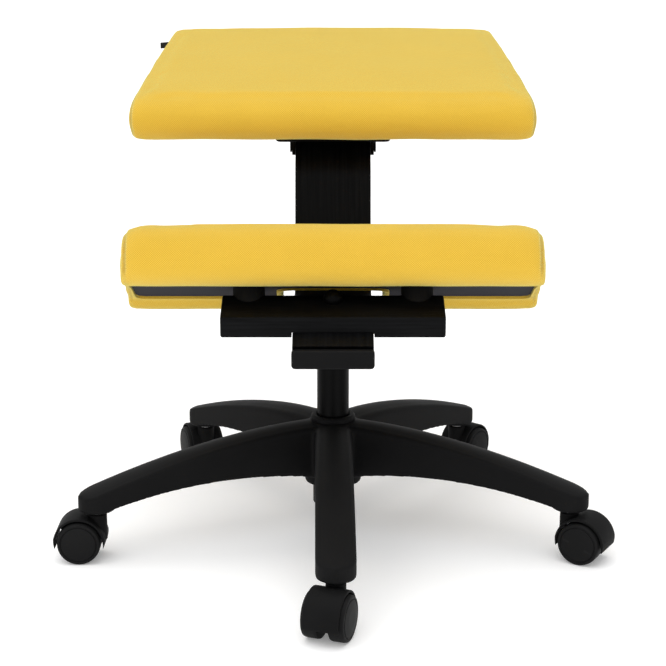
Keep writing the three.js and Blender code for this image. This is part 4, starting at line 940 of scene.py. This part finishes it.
def star_base():
    bodies, channels, ribs = [], [], []
    hub = rounded([(0, 64), (34, 64), (34, 101), (27.6, HUB_TOP), (0, HUB_TOP)], [0, 2, 8, 2, 0])
    bodies.append(lathe("hub", hub, 72))
    boss = rounded([(0, 60), (BOSS_RADIUS, 60), (BOSS_RADIUS, 74), (17, 78), (0, 78)], [0, 1.4, 1.2, 1, 0])
    bores = [lathe("bore", [(0, 40), (BORE, 40), (BORE, 160), (0, 160)], 48)]
    to_pivot = Matrix.Translation((PIVOT * MM, 0, 0))
    for arm in range(5):
        turn = Matrix.Rotation(arm_angle(arm), 4, "Z")
        outer = loft("arm", arm_rings(ARM_ROOT, ARM_END, arm_ring, 60))
        tip = lathe("boss", boss, 48)
        tip.data.transform(to_pivot)
        channel = loft("channel", arm_rings(CHANNEL_START, CHANNEL_END, channel_ring))
        rib = loft("rib", arm_rings(RIB_START, RIB_END, rib_ring))
        for piece in (outer, tip, channel, rib):
            piece.data.transform(turn)
        bodies += [outer, tip]
        channels.append(channel)
        ribs.append(rib)
        stem = lathe("stem", [(0, 50), (CASTOR_STEM, 50), (CASTOR_STEM, 78.3), (0, 78.3)], 20)
        stem.data.transform(turn @ to_pivot)
        bores.append(stem)
    body = merged("base", bodies)
    remesh(body, 1.7)
    co = coordinates(body) / MM
    reach, height = np.hypot(co[:, 0], co[:, 1]), co[:, 2]
    over_rim = np.abs(height - arm_bottom(np.clip(arm_share(reach), 0, 1)))
    near_hub = (1 - step_share(reach, 48, 80)) * step_share(height, 78, 90)
    near_hub *= 1 - step_share(height, 134, 138)
    smooth_points(body, 3, 1)
    smooth_points(body, 10, 1 - step_share(over_rim, 3, 7), 0.8)
    smooth_points(body, 14, near_hub, 0.2)
    boolean(body, [merged("channels", channels)], "DIFFERENCE")
    boolean(body, [merged("ribs", ribs)], "UNION")
    boolean(body, bores, "DIFFERENCE")
    shade(body, 45)
    stand_in(body, "star_base_moulding", "star_base")


# Castors, in their own frame: the pin stands at the origin and +X is the way the wheels trail
TRAIL, WHEEL, AXLE = 20, 25, 3.3
HOOD_INNER, HOOD_OUTER, HOOD_HALF, HOOD_FOOT = 26.8, 29.4, 20, 19
HOOD_REACH = math.degrees(math.asin((WHEEL - HOOD_FOOT) / HOOD_OUTER))
CASTOR_TURNS = {
    "front": (0, 250), "right": (1, 330), "rear_right": (2, 50), "rear_left": (3, 112), "left": (4, 180),
}


def about_axle(radius, angle):
    """The point at a radius from the axle, in (x, z); 0 degrees is the way the wheels trail."""
    a = math.radians(angle)
    return TRAIL + radius * math.cos(a), WHEEL + radius * math.sin(a)


def onto_axle(obj, quarter_turns):
    """From standing along Z at the origin to lying along the axle."""
    obj.data.transform(Matrix.Translation((TRAIL * MM, 0, WHEEL * MM))
                       @ Matrix.Rotation(math.radians(90 * quarter_turns), 4, "X"))
    return obj


def hood_body():
    rings = []
    for angle in np.linspace(-HOOD_REACH, 180 + HOOD_REACH, 41):
        from_tip = min(angle + HOOD_REACH, 180 + HOOD_REACH - angle)
        thick = (HOOD_OUTER - HOOD_INNER) * min(1, 0.25 + from_tip / 26)
        low = HOOD_INNER + 0.2 + 1.3 * max(0, 1 - from_tip / 40) ** 2
        top = low + thick
        section = rounded([(HOOD_HALF, low), (HOOD_HALF, top), (-HOOD_HALF, top), (-HOOD_HALF, low)],
                          [0.4, 1.6, 1.6, 0.4], 3)
        ring = []
        for y, radius in section:
            x, z = about_axle(radius, angle)
            ring.append((x * MM, y * MM, z * MM))
        rings.append(ring)
    return loft("hood", rings)


def castor_fork():
    hood = hood_body()
    web_line = [about_axle(24.2 + 4.3 * step_share(min(angle, 180 - angle), 24, 40), angle)
                for angle in np.linspace(-HOOD_REACH, 180 + HOOD_REACH, 37)]
    web = loft("web", [[(x * MM, y * MM, z * MM) for x, z in web_line] for y in (-5, 5)])
    housing = lathe("housing", rounded([(0, 24), (11, 24), (11, 55.5), (0, 55.5)], [0, 1, 1.2, 0]), 40)
    wheel_room = onto_axle(lathe("room", [(0, -26), (HOOD_INNER, -26), (HOOD_INNER, 26), (0, 26)], 56), 1)
    boolean(housing, [wheel_room], "DIFFERENCE")
    boolean(hood, [web, housing], "UNION")
    axle = onto_axle(lathe("axle", [(0, -30), (AXLE, -30), (AXLE, 30), (0, 30)], 20), 1)
    stem = lathe("stem", [(0, 37.5), (CASTOR_STEM, 37.5), (CASTOR_STEM, 60), (0, 60)], 20)
    boolean(hood, [axle, stem], "DIFFERENCE")
    return shade(hood, 34)


def castor_wheel(side):
    """A wheel with a rounded tread and a domed outer disc; side is 1 or -1."""
    profile = rounded(
        [(AXLE, 6), (14, 6.6), (21, 6), (24.6, 6.6), (WHEEL, 9), (WHEEL, 20), (24.2, 23.4), (21.6, 24),
         (20.6, 22.9), (19.6, 24.2), (10, 25), (0, 25.2), (0, 24), (AXLE, 24)],
        [0, 1, 1, 0.8, 3, 3.5, 1.5, 0.5, 0.3, 0.6, 1, 0, 0, 0])
    return shade(onto_axle(lathe("wheel", profile, 72), side), 40)


def castors():
    fork = castor_fork()
    wheels = {"a": castor_wheel(1), "b": castor_wheel(-1)}
    for name, (arm, turn) in CASTOR_TURNS.items():
        angle = arm_angle(arm)
        at = Matrix.Translation((PIVOT * MM * math.cos(angle), PIVOT * MM * math.sin(angle), 0))
        place = at @ Matrix.Rotation(math.radians(turn), 4, "Z")
        sources = {"castor_fork_" + name: fork, **{f"castor_wheel_{name}_{k}": w for k, w in wheels.items()}}
        for node, source in sources.items():
            piece = bpy.data.objects.new(node + "_moulding", source.data.copy())
            scene.collection.objects.link(piece)
            piece.data.transform(place)
            stand_in(piece, node + "_moulding", node)
    for source in (fork, *wheels.values()):
        drop(source)


# Turned parts
INNER_TUBE, INNER_TUBE_TOP, SLEEVE = 19, 262, 19.3
BOLT_RADIUS, HEAD_RADIUS, HEAD_SEAT = 4, 10.8, 17.3


def inner_tube():
    """Its top is set by the node, its foot stays."""
    tube = lathe("lift_inner_tube_turned", rounded(
        [(0, 61), (INNER_TUBE, 61), (INNER_TUBE, INNER_TUBE_TOP), (0, INNER_TUBE_TOP)], [0, 1, 1, 0]))
    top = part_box("lift_inner_tube")[1].z / MM
    co = coordinates(tube)
    co[co[:, 2] > 0.2, 2] += (top - INNER_TUBE_TOP) * MM
    set_coordinates(tube, co)
    stand_in(shade(tube), "lift_inner_tube_turned", "lift_inner_tube")


def collar():
    low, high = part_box("lift_collar")
    bottom, top = low.z / MM, high.z / MM
    ring = rounded(
        [(SLEEVE, bottom), (26.5, bottom), (26.5, top - 2.6), (24.4, top), (20.6, top), (SLEEVE, top - 1.4)],
        [0, 0.6, 1.4, 1.2, 0.8, 0.4])
    stand_in(shade(lathe("lift_collar_turned", ring), 50), "lift_collar_turned", "lift_collar")


def outer_tube():
    tube = rounded([(0, 34), (21, 34), (24, 37), (24, HUB_TOP), (SLEEVE, HUB_TOP), (SLEEVE, 38), (0, 38)],
                   [0, 1, 1, 0.5, 0.5, 0, 0])
    stand_in(shade(lathe("lift_outer_tube_turned", tube)), "lift_outer_tube_turned", "lift_outer_tube")


def clamp_bolt():
    dome = [(HEAD_RADIUS * math.cos(a), HEAD_SEAT + 2.4 + 9.4 * math.sin(a))
            for a in np.radians(np.linspace(8, 86, 9))]
    profile = [(0, -39.7), (BOLT_RADIUS, -39.7), (BOLT_RADIUS, HEAD_SEAT), (HEAD_RADIUS, HEAD_SEAT),
               (HEAD_RADIUS, HEAD_SEAT + 2.2), *dome, (0, HEAD_SEAT + 11.8)]
    bolt = lathe("knee_clamp_bolt_turned", profile, 48)
    tilt(bolt, clamp_point, KNEE_ANGLE)
    stand_in(shade(bolt, 40), "knee_clamp_bolt_turned", "knee_clamp_bolt")


# Rigid pieces whose shape is right: the same shape with fine rounded edges, by their radius
ROUNDED_EDGES = {
    "beam_end_cap": 1.8, "knee_crossbar": 0.5, "knee_peg_left": 0.5, "knee_peg_right": 0.5,
    "seat_bracket": 0.4, "column_head": 0.8, "release_lever": 0, "release_lever_grip": 0.5,
    "knee_clamp_knob": 0.5, "knee_board": 0.6, "seat_board": 0.8,
}
SHARP_ANGLE, SAME_POINT, BOARD_END = 40, 2e-5, 0.19
TAG_LONGER, TAG_RAISED = 3.5, 2.4


def softened(node, edge_mm):
    mesh = nodes[node].data.copy()
    for layer in [a.name for a in mesh.attributes if a.name == "custom_normal"]:
        mesh.attributes.remove(mesh.attributes[layer])
    work = bmesh.new()
    work.from_mesh(mesh)
    bmesh.ops.remove_doubles(work, verts=work.verts, dist=SAME_POINT)
    bmesh.ops.dissolve_limit(work, angle_limit=math.radians(1), verts=work.verts, edges=work.edges)
    limit = math.radians(SHARP_ANGLE)
    sharp = [e for e in work.edges if len(e.link_faces) == 2 and e.calc_face_angle(0) > limit]
    if edge_mm and sharp:
        bmesh.ops.bevel(work, geom=sharp, offset=edge_mm * MM, offset_type="OFFSET", segments=2, profile=0.5,
                        affect="EDGES", clamp_overlap=True)
    work.to_mesh(mesh)
    work.free()
    made = bpy.data.objects.new(node + "_finished", mesh)
    scene.collection.objects.link(made)
    shade(made, 36)
    even = made.modifiers.new("even", "WEIGHTED_NORMAL")
    even.keep_sharp = True
    return stand_in(made, node + "_finished", node)


def rigid_parts():
    pieces = {node: softened(node, edge) for node, edge in ROUNDED_EDGES.items()}
    board = pieces["knee_board"]
    co = coordinates(board)
    outer = np.abs(co[:, 0]) > BOARD_END
    co[outer, 0] += np.sign(co[outer, 0]) * (BOARD_REACH * MM - np.abs(co[:, 0]).max())
    set_coordinates(board, co)
    crossbar = pieces["knee_crossbar"]
    co = coordinates(crossbar) / MM
    x, y, z = (co - co.mean(0)).T
    vector_attribute(crossbar, "grain_coord", np.stack([y, x, z], 1))


def side_tag():
    """A small folded tag, sewn into the seam by its open end."""
    low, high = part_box("seat_side_tag")
    centre = (low + high) / 2
    length, tall, thick = (high.x - low.x) + TAG_LONGER * MM, (high.z - low.z) * 0.86, (high.y - low.y)
    rings = []
    for s in np.linspace(0, 1, 9):
        x = high.x - length * s
        open_by = thick * (0.22 + 0.28 * math.sin(math.pi * min(1, s * 1.05)))
        sway = thick * 0.2 * math.sin(s * 2.4)
        corners = [(-open_by, -tall / 2), (open_by, -tall / 2), (open_by, tall / 2), (-open_by, tall / 2)]
        rings.append([(x, centre.y + y + sway, centre.z + z + TAG_RAISED * MM - s * tall * 0.15)
                      for y, z in rounded(corners, [open_by * 0.6] * 4, 3)])
    tag = loft("seat_side_tag_cloth", rings)
    stand_in(shade(tag, 50), "seat_side_tag_cloth", "seat_side_tag")


def plain_nodes():
    """The nodes that nothing replaces get their looks."""
    for name, obj in nodes.items():
        if not obj.hide_render:
            for slot in obj.material_slots:
                slot.link = "OBJECT"
                slot.material = LOOKS[SLOT[name]]


# Studio: a white floor and background, one broad light from above and weak ones from the front
WHITE = (1, 1, 1, 1)
FLOOR_HALF, FLOOR_COLOUR, FLOOR_GLOW = 14, (0.92, 0.92, 0.92, 1), 0.2
SKY_LIGHT, SKY_SEEN = 0.6, 1.0


def soft_light(name, place, level, spread):
    """A broad soft light from the direction of place, as strong all over the floor."""
    data = bpy.data.lights.new(name, "SUN")
    data.energy = level * math.pi
    data.angle = math.radians(spread)
    lamp = bpy.data.objects.new(name, data)
    lamp.location = place
    lamp.rotation_euler = (-Vector(place)).to_track_quat("-Z", "Y").to_euler()
    scene.collection.objects.link(lamp)


def floor_light(x):
    """Light from the floor in front, as a large white floor throws it up."""
    data = bpy.data.lights.new("floor_fill", "AREA")
    data.shape = "RECTANGLE"
    data.size, data.size_y = 0.46, 0.1
    data.energy = 0.62
    lamp = bpy.data.objects.new("floor_fill", data)
    lamp.location = (x, -0.45, 0.03)
    lamp.rotation_euler = (-Vector((0, 0.4, 0.9))).to_track_quat("Z", "Y").to_euler()
    scene.collection.objects.link(lamp)


def studio():
    corners = [(x * FLOOR_HALF, y * FLOOR_HALF, 0) for x, y in ((-1, -1), (1, -1), (1, 1), (-1, 1))]
    floor = mesh_object("floor", corners, [(0, 1, 2, 3)])
    made, t = material("floor")
    diffuse = t.add("ShaderNodeBsdfDiffuse")
    diffuse.inputs["Color"].default_value = FLOOR_COLOUR
    glow = t.add("ShaderNodeEmission")
    glow.inputs["Color"].default_value = WHITE
    t.put(glow.inputs["Strength"], t.times(t.seen(), FLOOR_GLOW))
    both = t.add("ShaderNodeAddShader")
    t.links.new(diffuse.outputs[0], both.inputs[0])
    t.links.new(glow.outputs[0], both.inputs[1])
    t.output(both)
    floor.data.materials.append(made)

    world = bpy.data.worlds.new("studio")
    scene.world = world
    t = Tree(world)
    sky = t.add("ShaderNodeBackground")
    sky.inputs["Color"].default_value = WHITE
    t.put(sky.inputs["Strength"], t.blend(t.seen(), SKY_LIGHT, SKY_SEEN))
    t.output(sky, "ShaderNodeOutputWorld")

    soft_light("overhead", (-0.5, -0.3, 3.0), 0.645, 80)
    soft_light("key", (0.2, -2.2, 1.9), 0.035, 30)
    for x in (-0.33, 0.33):
        floor_light(x)


seat_cushion()
knee_cushion()
beam()
star_base()
castors()
inner_tube()
collar()
outer_tube()
clamp_bolt()
rigid_parts()
side_tag()
plain_nodes()
studio()
